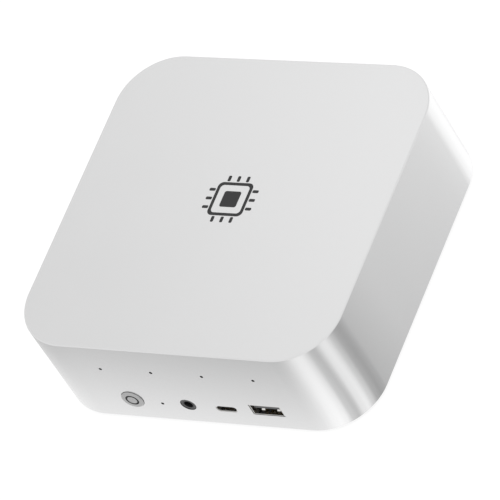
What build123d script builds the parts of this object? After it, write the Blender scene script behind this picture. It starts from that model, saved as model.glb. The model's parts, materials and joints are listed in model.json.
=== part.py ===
"""Desktop mini PC: an aluminium shell over a plastic base, with its board, ports, blower cooler and buttons.

X runs left to right, Y from the front to the rear and Z up. The origin is on the desk, under the middle.
All sizes are in millimetres. Every part is written to parts/NODE.step.
"""
from build123d import *
import os
from math import atan2, copysign, cos, degrees, radians, sin, tan

# ---- overall ----
WIDTH = 135.0
DEPTH = 135.0
HEIGHT = 44.7
CORNER_R = 22.5
FOOT_PROUD = 1.5  # the feet lift the shell's rim this far off the desk
FRONT = -DEPTH / 2
REAR = DEPTH / 2

# ---- aluminium shell ----
WALL = 1.6
ROOF = 2.0
ROOF_EDGE_R = 0.5
INNER_W = WIDTH - 2 * WALL
INNER_D = DEPTH - 2 * WALL
INNER_R = CORNER_R - WALL
ROOF_IN = HEIGHT - ROOF

# ---- screws ----
SHANK_R = 1.2
SHANK_L = 5.5
HEAD_R = 2.2
HEAD_H = 1.2
DRIVE_R = 0.9
DRIVE_DEEP = 0.6
TAP_GAP = 0.05  # a shank stands this far off its tapped hole
PASS_GAP = 0.25  # and this far off a plain hole
BASE_SHANK_L = 7.0

# ---- base cover and feet ----
COVER_GAP = 0.2
COVER_T = 1.6
COVER_RECESS = 0.3
COVER_Z = FOOT_PROUD + COVER_RECESS
COVER_TOP = COVER_Z + COVER_T
COVER_PAD_T = 2.6
COVER_PAD_R = 3.6
FOOT_R = 7.0
FOOT_SUNK = 0.6
FOOT_GAP = 0.1
FOOT_INSET = CORNER_R + 1.0
VENT_W = 78.0
VENT_D = 66.0
VENT_SLOT_W = 2.2
VENT_PITCH = 4.4
VENT_COLUMNS = 3
VENT_RIB = 4.0
FILTER_T = 0.4
FILTER_MARGIN = 4.0
FILTER_HOLE_R = 0.9
FILTER_PITCH = 4.0

# ---- bosses under the roof ----
BOSS_R = 3.2
BOSS_WALL_GAP = 1.0
RIB_T = 2.0
POST_R = 3.0
POST_INSET = 4.5
POST_Y = 22.0

# ---- main board ----
BOARD_TOP = 9.0
BOARD_T = 1.2
BOARD_Z = BOARD_TOP - BOARD_T
BOARD_SIDE_GAP = 1.5
BOARD_FRONT_GAP = 0.8
BOARD_REAR_GAP = 1.0
BOARD_BOSS_GAP = 1.2
MOUTH_RECESS = 0.2
PORT_GAP = 0.2

# ---- rear panel ----
PANEL_HALF_W = 51.0
PANEL_RECESS = 1.0
PANEL_T = 2.0
PANEL_GAP = 0.15
WINDOW_Z0 = 5.0
WINDOW_TOP_GAP = 2.1
WINDOW_R = 3.0
WINDOW_DEEP = 5.1  # how far inside the wall its corners are cleared
LIP = 1.0
LIP_GAP = 0.1
LIP_HALF_W = 43.0
REAR_SLOT_W = 2.0
REAR_SLOT_PITCH = 3.3
REAR_SLOTS = 25
REAR_SLOT_Z0 = 27.0
REAR_SLOT_H = 11.8
PANEL_Y = REAR - PANEL_RECESS  # the panel's outer face
WINDOW_Z1 = ROOF_IN - WINDOW_TOP_GAP
BOARD_Y1 = PANEL_Y - PANEL_T - BOARD_REAR_GAP

# ---- power button and reset switch ----
BUTTON_X = -27.45
BUTTON_UP = 3.75  # above the board
BUTTON_R = 4.5
BUTTON_GAP = 0.15
BUTTON_PROUD = 0.5
BUTTON_CAP_T = 1.2
BUTTON_TRAVEL = 0.35
BUTTON_CHAMFER = 0.25
RING_R0 = 2.0
RING_R1 = 2.75
RING_GAP = 0.03
RING_SUNK = 0.05
EAR_HALF_W = 5.8
EAR_HALF_H = 2.5
EAR_T = 0.75
EAR_GAP = 0.05
STEM_R = 1.4
STEM_L = 1.4
SWITCH_W = 6.0
SWITCH_D = 3.5
PLUNGER_R = 1.0
PLUNGER_OUT = 1.2
PLUNGER_IN = 0.6
PLUNGER_GAP = 0.1
RESET_X = -15.0
RESET_UP = 2.4
RESET_HOLE_R = 0.65
RESET_BEHIND_WALL = 3.0
RESET_TRAVEL = 0.25

# ---- microphones ----
MIC_MIDDLE_X = 0.25
MIC_PITCH = 21.9
MIC_COUNT = 4
MIC_BELOW_ROOF = 13.4
MIC_HOLE_R = 0.65
GASKET_R = 1.8
GASKET_HOLE_R = 1.0
MIC_PORT_R = 0.25
GASKET_T = 0.6
MIC_BOARD_T = 0.8
MIC_BOARD_H = 5.0
MIC_SIZE = (3.5, 1.0, 2.65)

# ---- ports: every height is above the board ----
SHEET = 0.3
INSERT_GAP = 0.02  # a plastic insert stands this far off its sheet shell
TAB_HALF_L = 0.8
TAB_SHARES = (0.45, 0.8)
USB_A_X = 30.15
USB_A_W = 13.1
USB_A_H = 5.72
USB_A_UP = 3.05
USB_A_D = 14.0
USB_A_TONGUE = (11.1, 1.84)
USB_A_TONGUE_RECESS = 0.8
USB_A_TONGUE_UP = 0.05  # above the port's middle
USB_A_BACK_L = 4.0
USB_A_SPRING_X = 3.3
USB_A_SPRING_HALF_W = 0.7
USB_A_SPRING_YS = (2.4, 5.4)
USB_A_SPRING_T = 0.35
USB_C_X = 12.5
USB_C_GAP = 0.05
USB_C_W = 8.94
USB_C_H = 3.26
USB_C_UP = 2.0
USB_C_D = 8.5
USB_C_TONGUE = (6.7, 0.7)
USB_C_TONGUE_RECESS = 0.9
USB_C_BACK_L = 2.0
JACK_X = -3.65
JACK_UP = 2.9
JACK_W = 6.4
JACK_BODY_H = 6.0
JACK_D = 14.5
JACK_BORE_R = 1.8
JACK_BORE_L = 13.0
JACK_COLLAR_R = 2.35
JACK_RING_R = 3.1
REAR_JACK_X = -46.5
NET_X = -34.5
NET_W = 16.0
NET_H = 13.4
NET_D = 21.0
NET_CAVITY_W = 11.9
NET_CAVITY_H = 6.9
NET_CAVITY_D = 14.0
NET_CAVITY_UP = 3.4
NET_NOTCHES = ((6.2, 1.4), (3.4, 2.6))
NET_WIRE_R = 0.23
NET_WIRE_PITCH = 1.02
NET_WIRES = 8
NET_LIGHT = (2.6, 1.6)
NET_LIGHT_L = 3.7
NET_LIGHT_EDGE = (0.5, 0.4)
NET_RECESS = 0.3
NET_LATCH_L = 12.0
NET_WIRE_YS = (2.5, 4.0, 11.0)
NET_WIRE_DROP = 1.9
STACK_X = -18.0
STACK_UPS = (3.7, 11.9)
STACK_D = 17.5
STACK_EDGE = 0.6
STACK_BACK_L = 5.0
STACK_TOP = STACK_UPS[-1] + USB_A_H / 2 + STACK_EDGE
REAR_USB_C_X = -4.5
NOTCHED_X = 11.0
NOTCHED_W = 16.1
NOTCHED_H = 4.8
NOTCHED_UP = 3.1
NOTCHED_D = 13.0
NOTCHED_CHAMFER = 2.4
NOTCHED_TONGUE = (12.6, 1.3, 0.1)  # width, thickness, height above the port's middle
BEVELLED_X = 29.5
BEVELLED_W = 14.0
BEVELLED_H = 4.6
BEVELLED_UP = 3.1
BEVELLED_D = 12.0
BEVELLED_BEVEL = (2.2, 2.0)
BEVELLED_TONGUE = (11.2, 1.2, 0.2)
VIDEO_BACK_L = 3.0
VIDEO_TONGUE_RECESS = 1.0
INLET_X = 44.0
INLET_W = 9.0
INLET_H = 10.8
INLET_D = 14.0
INLET_UP = 6.3
INLET_BORE_R = 3.15
INLET_BORE_L = 10.0
INLET_PIN_R = 1.25
INLET_PIN_L = 9.3
INLET_ROOT_R = 1.6  # the pin's shoulder, held in the body

# ---- processor and board parts ----
CPU_Y = -2.0
CPU_W = 40.0
CPU_D = 25.0
CPU_T = 1.0
DIE_W = 19.0
DIE_D = 11.0
DIE_T = 0.8
MEMORY_W = 12.4
MEMORY_D = 15.0
MEMORY_T = 1.0
MEMORY_XS = (-22.5, -7.5, 7.5, 22.5)
MEMORY_GAP = 1.0
INDUCTOR_X = 35.0
INDUCTOR_W = 7.0
INDUCTOR_H = 2.2
INDUCTOR_R = 0.8
INDUCTOR_PITCH = 8.5
INDUCTORS = 5
CAPACITOR_X = -36.0
CAPACITOR_R = 3.1
CAPACITOR_H = 5.4
CAPACITOR_PITCH = 7.0
CAPACITOR_OFFSET = 16.5  # from the processor's middle
CHIP_H = 1.0
CHIPS = ((-18, 33, 9), (2, 32, 7), (24, 33, 8), (45, -32, 10), (-2, -48, 7), (44, -14, 6))  # x, y, side

# ---- cards under the board ----
CARD_W = 22.0
CARD_T = 0.8
CARD_DROP = 1.4  # free height between the board and a card
DRIVE_L = 80.0
DRIVE_XS = (-11.0, 14.0)
WIRELESS_L = 30.0
WIRELESS_X = -38.0
CARD_END_Y = 44.0
SOCKET_D = 6.0
SOCKET_H = 3.0
SOCKET_BITE = 4.0
SOCKET_FIT = 0.05
CARD_SCREW_R = 1.0
CARD_HEAD_R = 2.4
CARD_HEAD_H = 0.5
SPACER_R = 2.2
DRIVE_CHIPS = ((17.0, 18.0), (38.0, 18.0), (60.0, 12.0))  # from the screw, and length
DRIVE_CHIP_W = 14.0
DRIVE_CHIP_T = 1.1
SHIELD_W = 16.0
SHIELD_YS = (5.0, 21.0)
SHIELD_T = 1.2

# ---- cooler ----
COLD_SIDE = 40.0
COLD_T = 3.2
PIPE_R = 2.5
PIPE_OFFSET = 5.0
PIPE_SIDE_X = 47.0
PIPE_BEND = 8.0
PIPE_SIDE_RUN = 18.0
PIPE_BEFORE_FINS = 10.0
CLAMP_D = 5.0
CLAMP_T = 1.2
CLAMP_OFFSET = 14.5
CLAMP_LEG_X = 25.0
CLAMP_LEG_R = 2.6
FIN_HALF_W = 37.0
FIN_D = 16.0
FIN_T = 0.35
FIN_PITCH = 1.6
FIN_SHEET = 0.5
FIN_PORT_GAP = 1.04
FIN_Z0 = BOARD_TOP + STACK_TOP + FIN_PORT_GAP
FIN_ROOF_GAP = 2.3
FIN_PANEL_GAP = 1.5
FIN_PIPE_UP = 5.0
FIN_PIPE_SHARES = (0.28, 0.72)  # of the fins' depth
FIN_Y1 = PANEL_Y - PANEL_T - FIN_PANEL_GAP
FIN_Y0 = FIN_Y1 - FIN_D
FIN_Z1 = ROOF_IN - FIN_ROOF_GAP

# ---- blower ----
FAN_Y = -4.0
FAN_R = 42.0
FAN_WALL = 1.4
FAN_FLOOR = 1.0
FAN_COVER_T = 0.8
FAN_EYE_R = 27.0
FAN_DUCT_GAP = 0.5
FAN_BELOW_FINS = 0.8
FAN_Z0 = FIN_Z0 - FAN_BELOW_FINS
FAN_Z1 = FIN_Z1
FAN_RUN_GAP = 1.0
HUB_R = 13.0
HUB_WALL = 1.2
BLADE_WALL_GAP = 4.6
BLADE_R = FAN_R - FAN_WALL - BLADE_WALL_GAP
BLADE_T = 0.7
BLADES = 29
BLADE_SWEEP = 32.0
BLADE_BOW = 0.28
BLADE_BELOW_CUP = 0.6
TIE_W = 1.2
TIE_H = 0.8
SHAFT_SEAT_H = 3.6
SHAFT_R = 1.0
BEARING_GAP = 0.05
BEARING_R = 2.0
BEARING_FLOOR = 0.6
BEARING_TOP_GAP = 4.0
SHAFT_LIFT = 0.8
TUBE_R = 3.0
STATOR_R = 10.4
STATOR_TEETH = 6
STATOR_SLOT = (6.0, 1.8)
STATOR_LIFT = 0.4
STATOR_TOP_GAP = 4.6
SPOKE_W = 3.0
SPOKE_TURNS = (30, 90, 150)
NOSE_W = 7.0
NOSE_L = 16.0
NOSE_R = 3.2
NOSE_BEFORE_FINS = 12.0
FAN_EAR_R = 3.0
FAN_EAR_OUT = 3.4
FAN_EAR_T = 3.0
FAN_EAR_YS = (-24.0, 16.0)

# ---- speakers, cell and antennas ----
SPEAKER_W = 12.0
SPEAKER_L = 19.0
SPEAKER_H = 9.0
SPEAKER_SIDE_GAP = 1.4
SPEAKER_Y = -37.0
SPEAKER_R = 1.5
CONE_W = 9.0
CONE_MARGIN = 4.0
CONE_DEEP = 0.8
CELL_R = 10.0
CELL_H = 3.4
CELL_EDGE_R = 0.5
CELL_X = -45.0
CELL_Y = -43.0
ANTENNA_W = 7.0
ANTENNA_H = 11.0
ANTENNA_T = 0.2
ANTENNA_X = 46.0
LEAD_R = 0.55
LEAD_X = 51.0  # where the antenna leads pass the board's rear edge
LEAD_NOTCH = 3.0
LEAD_CROSS_Y = 54.0  # where the leads run behind the card sockets
LEAD_CARD_GAP = 2.4
LEAD_UNDER_CARD = 0.2
LEAD_PLUG_R = 1.3
LEAD_PLUG_RIM = 0.15  # the plug stands this far below its lead
LEAD_BEND = 4.0
LEAD_PLUG_Y = 2.5  # from the wireless card's screw
LEAD_PLUG_INSET = 5.0
LEAD_START_UP = 4.0
LEAD_DROP = 6.0
FAN_LEAD_R = 0.9
FAN_LEAD_UP = 4.0
FAN_PLUG_SIZE = (5.4, 3.6, 3.4)
FAN_PLUG_CHAMFER = 0.3
FAN_PLUG_GAP = 2.5
FAN_PLUG_X = MEMORY_XS[-1] + (MEMORY_W + FAN_PLUG_SIZE[0]) / 2 + FAN_PLUG_GAP


def block(x0, x1, y0, y1, z0, z1):
    """A box between two corners."""
    size = Box(x1 - x0, y1 - y0, z1 - z0)
    return Pos((x0 + x1) / 2, (y0 + y1) / 2, (z0 + z1) / 2) * size


def post(x, y, r, z0, z1):
    """An upright cylinder."""
    return Pos(x, y, (z0 + z1) / 2) * Cylinder(r, z1 - z0)


def rod_y(x, z, r, y0, y1):
    """A cylinder along Y."""
    return Pos(x, (y0 + y1) / 2, z) * Rot(90, 0, 0) * Cylinder(r, y1 - y0)


def slab(w, d, r, z0, z1):
    """A plate with rounded corners, centred over the origin."""
    return Pos(0, 0, z0) * extrude(RectangleRounded(w, d, r), z1 - z0)


def along_y(sketch, x, z, y0, y1):
    """A sketch seen from the front, run from y0 to y1."""
    face = Plane(origin=(x, y0, z), x_dir=(1, 0, 0), z_dir=(0, 1, 0)) * (Rot(180, 0, 0) * sketch)
    return extrude(face, y1 - y0, dir=(0, 1, 0))


def corners(x, y):
    """The four mirrored places of one point."""
    return [(sx * x, sy * y) for sx in (-1, 1) for sy in (-1, 1)]


def fused(first, others):
    """One solid from a body and what is joined to it."""
    for other in others:
        first = first + other
    return first


def cut(first, others):
    """A body with each tool taken out of it."""
    for other in others:
        first = first - other
    return first


BOSS_REACH = (INNER_R - BOSS_WALL_GAP - BOSS_R) * cos(radians(45))
BOSS_X = WIDTH / 2 - CORNER_R + BOSS_REACH
BOSS_Y = DEPTH / 2 - CORNER_R + BOSS_REACH
BOSS_Z = COVER_Z + COVER_PAD_T
POST_X = INNER_W / 2 - POST_INSET
MIC_XS = [MIC_MIDDLE_X + (i - (MIC_COUNT - 1) / 2) * MIC_PITCH for i in range(MIC_COUNT)]
MIC_Z = HEIGHT - MIC_BELOW_ROOF
BUTTON_Z = BOARD_TOP + BUTTON_UP
RESET_Z = BOARD_TOP + RESET_UP
WALL_IN_Y = FRONT + WALL
FAN_EAR_X = FAN_R + FAN_EAR_OUT
FAN_EARS = [(sx * FAN_EAR_X, FAN_Y + y) for sx in (-1, 1) for y in FAN_EAR_YS]
CLAMP_LEGS = [(x, CPU_Y + y) for x, y in corners(CLAMP_LEG_X, CLAMP_OFFSET)]


# ---- housing ----
def front_holes():
    """What passes through the shell's front wall, each with its gap."""
    y0, y1 = FRONT - 1, WALL_IN_Y + 1
    gap = 2 * PORT_GAP
    usb_a = RectangleRounded(USB_A_W + gap, USB_A_H + gap, 2 * PORT_GAP)
    usb_c = SlotOverall(USB_C_W + 2 * USB_C_GAP, USB_C_H + 2 * USB_C_GAP)
    holes = [
        along_y(usb_a, USB_A_X, BOARD_TOP + USB_A_UP, y0, y1),
        along_y(usb_c, USB_C_X, BOARD_TOP + USB_C_UP, y0, y1),
        rod_y(JACK_X, BOARD_TOP + JACK_UP, JACK_RING_R + PORT_GAP / 2, y0, y1),
        rod_y(BUTTON_X, BUTTON_Z, BUTTON_R + BUTTON_GAP, y0, y1),
        rod_y(RESET_X, RESET_Z, RESET_HOLE_R, y0, y1),
    ]
    return holes + [rod_y(x, MIC_Z, MIC_HOLE_R, y0, y1) for x in MIC_XS]


def roof_ribs():
    """The bosses that the screws enter, and the webs that tie them to the walls."""
    top = ROOF_IN + ROOF / 2
    made = []
    for x, y in corners(BOSS_X, BOSS_Y):
        out = BOSS_R + BOSS_WALL_GAP + WALL / 2
        web = Pos(out / 2, 0, 0) * Box(out, RIB_T, ROOF_IN - BOSS_Z)
        turn = degrees(atan2(copysign(1, y), copysign(1, x)))
        made.append(Pos(x, y, (ROOF_IN + BOSS_Z) / 2) * Rot(0, 0, turn) * web)
        made.append(post(x, y, BOSS_R, BOSS_Z, top))
    for x, y in corners(POST_X, POST_Y):
        side = copysign((INNER_W + WALL) / 2, x)
        made.append(block(min(x, side), max(x, side), y - RIB_T / 2, y + RIB_T / 2, BOARD_TOP, top))
        made.append(post(x, y, POST_R, BOARD_TOP, top))
    return made + [post(x, y, FAN_EAR_R, FAN_Z1, top) for x, y in FAN_EARS]


def top_shell():
    shell = slab(WIDTH, DEPTH, CORNER_R, FOOT_PROUD, HEIGHT)
    shell = fillet(shell.edges().group_by(Axis.Z)[-1], ROOF_EDGE_R)
    shell = shell - slab(INNER_W, INNER_D, INNER_R, FOOT_PROUD - 1, ROOF_IN)
    shell = fused(shell, roof_ribs())
    window = RectangleRounded(2 * PANEL_HALF_W, WINDOW_Z1 - WINDOW_Z0, WINDOW_R)
    tools = front_holes()
    tools.append(along_y(window, 0, (WINDOW_Z0 + WINDOW_Z1) / 2, INNER_D / 2 - WINDOW_DEEP, REAR + 1))
    tap = SHANK_R + TAP_GAP
    base_tap = BASE_SHANK_L - (COVER_PAD_T - HEAD_H - COVER_RECESS) + 1
    tools += [post(x, y, tap, BOSS_Z - 1, BOSS_Z + base_tap) for x, y in corners(BOSS_X, BOSS_Y)]
    tools += [post(x, y, tap, BOARD_TOP - 1, BOARD_TOP + SHANK_L) for x, y in corners(POST_X, POST_Y)]
    fan_tap = SHANK_L - FAN_EAR_T + TAP_GAP
    tools += [post(x, y, tap, FAN_Z1 - 1, FAN_Z1 + fan_tap) for x, y in FAN_EARS]
    return cut(shell, tools)


def foot_places():
    return corners(WIDTH / 2 - FOOT_INSET, DEPTH / 2 - FOOT_INSET)


def vent_slots():
    """Three columns of slots in the middle of the base."""
    slot_l = (VENT_W - (VENT_COLUMNS - 1) * VENT_RIB) / VENT_COLUMNS
    rows = int(VENT_D / VENT_PITCH) + 1
    found = []
    for row in range(rows):
        y = (row - (rows - 1) / 2) * VENT_PITCH
        for column in range(VENT_COLUMNS):
            x = (column - (VENT_COLUMNS - 1) / 2) * (slot_l + VENT_RIB)
            found.append(Pos(x, y, COVER_Z - 1) * extrude(SlotOverall(slot_l, VENT_SLOT_W), COVER_T + 2))
    return found


def base_cover():
    cover = slab(INNER_W - 2 * COVER_GAP, INNER_D - 2 * COVER_GAP, INNER_R - COVER_GAP, COVER_Z, COVER_TOP)
    cover = fused(cover, [post(x, y, COVER_PAD_R, COVER_Z, BOSS_Z) for x, y in corners(BOSS_X, BOSS_Y)])
    tools = [post(x, y, FOOT_R + FOOT_GAP, COVER_Z - 1, COVER_Z + FOOT_SUNK) for x, y in foot_places()]
    for x, y in corners(BOSS_X, BOSS_Y):
        tools.append(post(x, y, HEAD_R + PASS_GAP, COVER_Z - 1, COVER_Z + COVER_RECESS + HEAD_H))
        tools.append(post(x, y, SHANK_R + PASS_GAP, COVER_Z, BOSS_Z + 1))
    return cut(cover, tools + vent_slots())


def dust_filter():
    """A steel sheet with rows of round holes, laid over the slots inside the base."""
    w, d = VENT_W + 2 * FILTER_MARGIN, VENT_D + 2 * FILTER_MARGIN
    sheet = slab(w, d, FILTER_MARGIN, COVER_TOP, COVER_TOP + FILTER_T)
    across, down = int(VENT_W / FILTER_PITCH), int(VENT_D / FILTER_PITCH)
    grid = GridLocations(FILTER_PITCH, FILTER_PITCH, across, down)
    holes = Sketch() + [place * Circle(FILTER_HOLE_R) for place in grid]
    return sheet - Pos(0, 0, COVER_TOP - 1) * extrude(holes, FILTER_T + 2)


def rubber_foot(x, y):
    foot = post(x, y, FOOT_R, 0, COVER_Z + FOOT_SUNK)
    return fillet(foot.edges().group_by(Axis.Z)[0], FOOT_PROUD / 4)


def rear_panel():
    mid = (WINDOW_Z0 + WINDOW_Z1) / 2
    plate = RectangleRounded(2 * (PANEL_HALF_W - PANEL_GAP), WINDOW_Z1 - WINDOW_Z0 - 2 * PANEL_GAP,
                             WINDOW_R - PANEL_GAP)
    panel = along_y(plate, 0, mid, PANEL_Y - PANEL_T, PANEL_Y)
    lip_y = INNER_D / 2 - LIP_GAP
    panel = panel + block(-LIP_HALF_W, LIP_HALF_W, PANEL_Y - PANEL_T, lip_y, WINDOW_Z0 - LIP, WINDOW_Z1 + LIP)
    tools = []
    for i in range(REAR_SLOTS):
        x = (i - (REAR_SLOTS - 1) / 2) * REAR_SLOT_PITCH
        slot = Rot(0, 0, 90) * SlotOverall(REAR_SLOT_H, REAR_SLOT_W)
        tools.append(along_y(slot, x, REAR_SLOT_Z0 + REAR_SLOT_H / 2, PANEL_Y - PANEL_T - 1, REAR))
    return cut(panel, tools + rear_holes())


def rear_holes():
    """The port openings of the rear panel: sketch, middle x and height above the board of each."""
    grow = 2 * PORT_GAP
    frame = 2 * SHEET + grow
    stack_h = STACK_TOP - STACK_EDGE
    openings = [
        (Rectangle(NET_W + grow, NET_H + grow), NET_X, NET_H / 2),
        (Rectangle(USB_A_W + grow, stack_h + grow), STACK_X, STACK_EDGE + stack_h / 2),
        (SlotOverall(USB_C_W + grow, USB_C_H + grow), REAR_USB_C_X, USB_C_UP),
        (Rectangle(NOTCHED_W + frame, NOTCHED_H + frame), NOTCHED_X, NOTCHED_UP),
        (Rectangle(BEVELLED_W + frame, BEVELLED_H + frame), BEVELLED_X, BEVELLED_UP),
        (Circle(JACK_RING_R + PORT_GAP / 2), REAR_JACK_X, JACK_UP),
        (Rectangle(INLET_W + grow, INLET_H + grow), INLET_X, INLET_H / 2),
    ]
    return [along_y(sketch, x, BOARD_TOP + up, PANEL_Y - PANEL_T - 1, REAR) for sketch, x, up in openings]


# ---- screws ----
def screw(x, y, z, up=True, shank=SHANK_L):
    """A pan-head screw whose head's inner face is at z. Its shank points up, or down."""
    body = Pos(0, 0, -HEAD_H / 2) * Cylinder(HEAD_R, HEAD_H) + Pos(0, 0, shank / 2) * Cylinder(SHANK_R, shank)
    drive = Pos(0, 0, -HEAD_H) * extrude(RegularPolygon(DRIVE_R, 6), DRIVE_DEEP)
    return Pos(x, y, z) * Rot(0 if up else 180, 0, 0) * (body - drive)


def base_screws():
    z = COVER_Z + COVER_RECESS + HEAD_H
    return [screw(x, y, z, shank=BASE_SHANK_L) for x, y in corners(BOSS_X, BOSS_Y)]


def machine_screws():
    """One kind of short screw holds the board, the cooler's clamps and the blower."""
    places = corners(POST_X, POST_Y) + CLAMP_LEGS
    return [screw(x, y, BOARD_Z) for x, y in places] + [screw(x, y, FAN_Z1 - FAN_EAR_T) for x, y in FAN_EARS]


# ---- power button ----
def button_rim():
    y0 = FRONT - BUTTON_PROUD
    rim = rod_y(BUTTON_X, BUTTON_Z, BUTTON_R, y0, y0 + BUTTON_CAP_T)
    rim = chamfer(rim.edges().group_by(Axis.Y)[0], BUTTON_CHAMFER)
    return rim - rod_y(BUTTON_X, BUTTON_Z, RING_R1, y0 - 1, y0 + BUTTON_CAP_T + 1)


def button_centre():
    y0 = FRONT - BUTTON_PROUD
    return rod_y(BUTTON_X, BUTTON_Z, RING_R0, y0, y0 + BUTTON_CAP_T)


def button_carrier():
    """The clear carrier behind the cap. Its ring shows between the rim and the centre as the power light."""
    back = FRONT - BUTTON_PROUD + BUTTON_CAP_T
    ear_y = WALL_IN_Y + EAR_GAP
    ring = rod_y(BUTTON_X, BUTTON_Z, RING_R1 - RING_GAP, FRONT - BUTTON_PROUD + RING_SUNK, back)
    ring = ring - rod_y(BUTTON_X, BUTTON_Z, RING_R0 + RING_GAP, FRONT - 1, back)
    ears = block(BUTTON_X - EAR_HALF_W, BUTTON_X + EAR_HALF_W, ear_y, ear_y + EAR_T,
                 BUTTON_Z - EAR_HALF_H, BUTTON_Z + EAR_HALF_H)
    core = rod_y(BUTTON_X, BUTTON_Z, BUTTON_R - BUTTON_GAP, back, ear_y)
    stem = rod_y(BUTTON_X, BUTTON_Z, STEM_R, ear_y, ear_y + EAR_T + STEM_L)
    return fused(core, [ring, ears, stem])


POWER_PLUNGER_Y = WALL_IN_Y + EAR_GAP + EAR_T + STEM_L
RESET_PLUNGER_Y = WALL_IN_Y + RESET_BEHIND_WALL


def switch_body(x, y, up, travel):
    """A side-acting switch on the board, with a pocket that its plunger slides in."""
    face = y + PLUNGER_OUT
    body = block(x - SWITCH_W / 2, x + SWITCH_W / 2, face, face + SWITCH_D, BOARD_TOP, BOARD_TOP + 2 * up - 1)
    pocket = PLUNGER_IN + travel + PLUNGER_GAP
    return body - rod_y(x, BOARD_TOP + up, PLUNGER_R + PLUNGER_GAP, face - 1, face + pocket)


def switch_plunger(x, y, up):
    return rod_y(x, BOARD_TOP + up, PLUNGER_R, y, y + PLUNGER_OUT + PLUNGER_IN)


def switch_bodies():
    return [
        switch_body(BUTTON_X, POWER_PLUNGER_Y, BUTTON_UP, BUTTON_TRAVEL),
        switch_body(RESET_X, RESET_PLUNGER_Y, RESET_UP, RESET_TRAVEL),
    ]


# ---- microphones ----
GASKET_Y = WALL_IN_Y
MIC_BOARD_Y = GASKET_Y + GASKET_T
MIC_Y = MIC_BOARD_Y + MIC_BOARD_T


def microphone_gaskets():
    """A soft ring seals each microphone to its hole in the shell."""
    rings = [rod_y(x, MIC_Z, GASKET_R, GASKET_Y, MIC_BOARD_Y) for x in MIC_XS]
    holes = [rod_y(x, MIC_Z, GASKET_HOLE_R, GASKET_Y - 1, MIC_BOARD_Y + 1) for x in MIC_XS]
    return [ring - hole for ring, hole in zip(rings, holes)]


def microphone_board():
    half = (MIC_COUNT - 1) / 2 * MIC_PITCH + MIC_BOARD_H
    x0, x1 = MIC_MIDDLE_X - half, MIC_MIDDLE_X + half
    board = block(x0, x1, MIC_BOARD_Y, MIC_Y, MIC_Z - MIC_BOARD_H / 2, MIC_Z + MIC_BOARD_H / 2)
    return cut(board, [rod_y(x, MIC_Z, MIC_PORT_R, MIC_BOARD_Y - 1, MIC_Y + 1) for x in MIC_XS])


def microphones():
    w, d, h = MIC_SIZE
    return [block(x - w / 2, x + w / 2, MIC_Y, MIC_Y + d, MIC_Z - h / 2, MIC_Z + h / 2) for x in MIC_XS]


# ---- ports: each is made with its mouth at y 0, facing -Y, on a board at z 0 ----
def at_front(x, piece):
    return Pos(x, FRONT + MOUTH_RECESS, BOARD_TOP) * piece


def at_rear(x, piece):
    return Pos(x, PANEL_Y - MOUTH_RECESS, BOARD_TOP) * Rot(0, 0, 180) * piece


def feet_of(half_w, depth, up):
    """Solder tabs that carry a sheet shell on the board."""
    places = [(s * (half_w - SHEET / 2), share * depth) for s in (-1, 1) for share in TAB_SHARES]
    return [block(x - SHEET / 2, x + SHEET / 2, y - TAB_HALF_L, y + TAB_HALF_L, 0, up) for x, y in places]


def usb_a_springs(up):
    """The pairs of sheet springs that grip a plug from above and below."""
    y0, y1 = USB_A_SPRING_YS
    half_w, half_t = USB_A_SPRING_HALF_W, USB_A_SPRING_T / 2
    places = corners(USB_A_SPRING_X, USB_A_H / 2 - SHEET - half_t)
    return [block(x - half_w, x + half_w, y0, y1, up + z - half_t, up + z + half_t) for x, z in places]


def usb_a_shell():
    outer = along_y(Rectangle(USB_A_W, USB_A_H), 0, USB_A_UP, 0, USB_A_D)
    inner = along_y(Rectangle(USB_A_W - 2 * SHEET, USB_A_H - 2 * SHEET), 0, USB_A_UP, -1, USB_A_D + 1)
    return fused(outer - inner, feet_of(USB_A_W / 2, USB_A_D, USB_A_UP) + usb_a_springs(USB_A_UP))


def usb_a_insert():
    lining = 2 * (SHEET + INSERT_GAP)
    back = Rectangle(USB_A_W - lining, USB_A_H - lining)
    return along_y(back, 0, USB_A_UP, USB_A_D - USB_A_BACK_L, USB_A_D) + usb_a_tongue(USB_A_UP, USB_A_D)


def usb_a_tongue(up, depth):
    w, t = USB_A_TONGUE
    z = up + USB_A_TONGUE_UP
    return block(-w / 2, w / 2, USB_A_TONGUE_RECESS, depth - USB_A_BACK_L / 2, z, z + t)


def usb_a_stack_shell():
    outer = block(-USB_A_W / 2, USB_A_W / 2, 0, STACK_D, STACK_EDGE, STACK_TOP)
    half_w = USB_A_W / 2 - SHEET
    half_h = USB_A_H / 2 - SHEET
    back_y = STACK_D - STACK_BACK_L
    tools = [block(-half_w, half_w, -1, back_y, up - half_h, up + half_h) for up in STACK_UPS]
    tools.append(block(-half_w, half_w, back_y - 1, STACK_D + 1, STACK_EDGE + SHEET, STACK_TOP - SHEET))
    springs = [s for up in STACK_UPS for s in usb_a_springs(up)]
    return fused(cut(outer, tools), springs + feet_of(USB_A_W / 2, STACK_D, 2 * STACK_EDGE))


def usb_a_stack_insert():
    lining = SHEET + INSERT_GAP
    half_w = USB_A_W / 2 - lining
    back = block(-half_w, half_w, STACK_D - STACK_BACK_L, STACK_D, STACK_EDGE + lining, STACK_TOP - lining)
    return fused(back, [usb_a_tongue(up, STACK_D) for up in STACK_UPS])


def usb_c_shell():
    outer = along_y(SlotOverall(USB_C_W, USB_C_H), 0, USB_C_UP, 0, USB_C_D)
    inner = along_y(SlotOverall(USB_C_W - 2 * SHEET, USB_C_H - 2 * SHEET), 0, USB_C_UP, -1, USB_C_D + 1)
    return fused(outer - inner, feet_of(USB_C_W / 2, USB_C_D, USB_C_UP))


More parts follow.
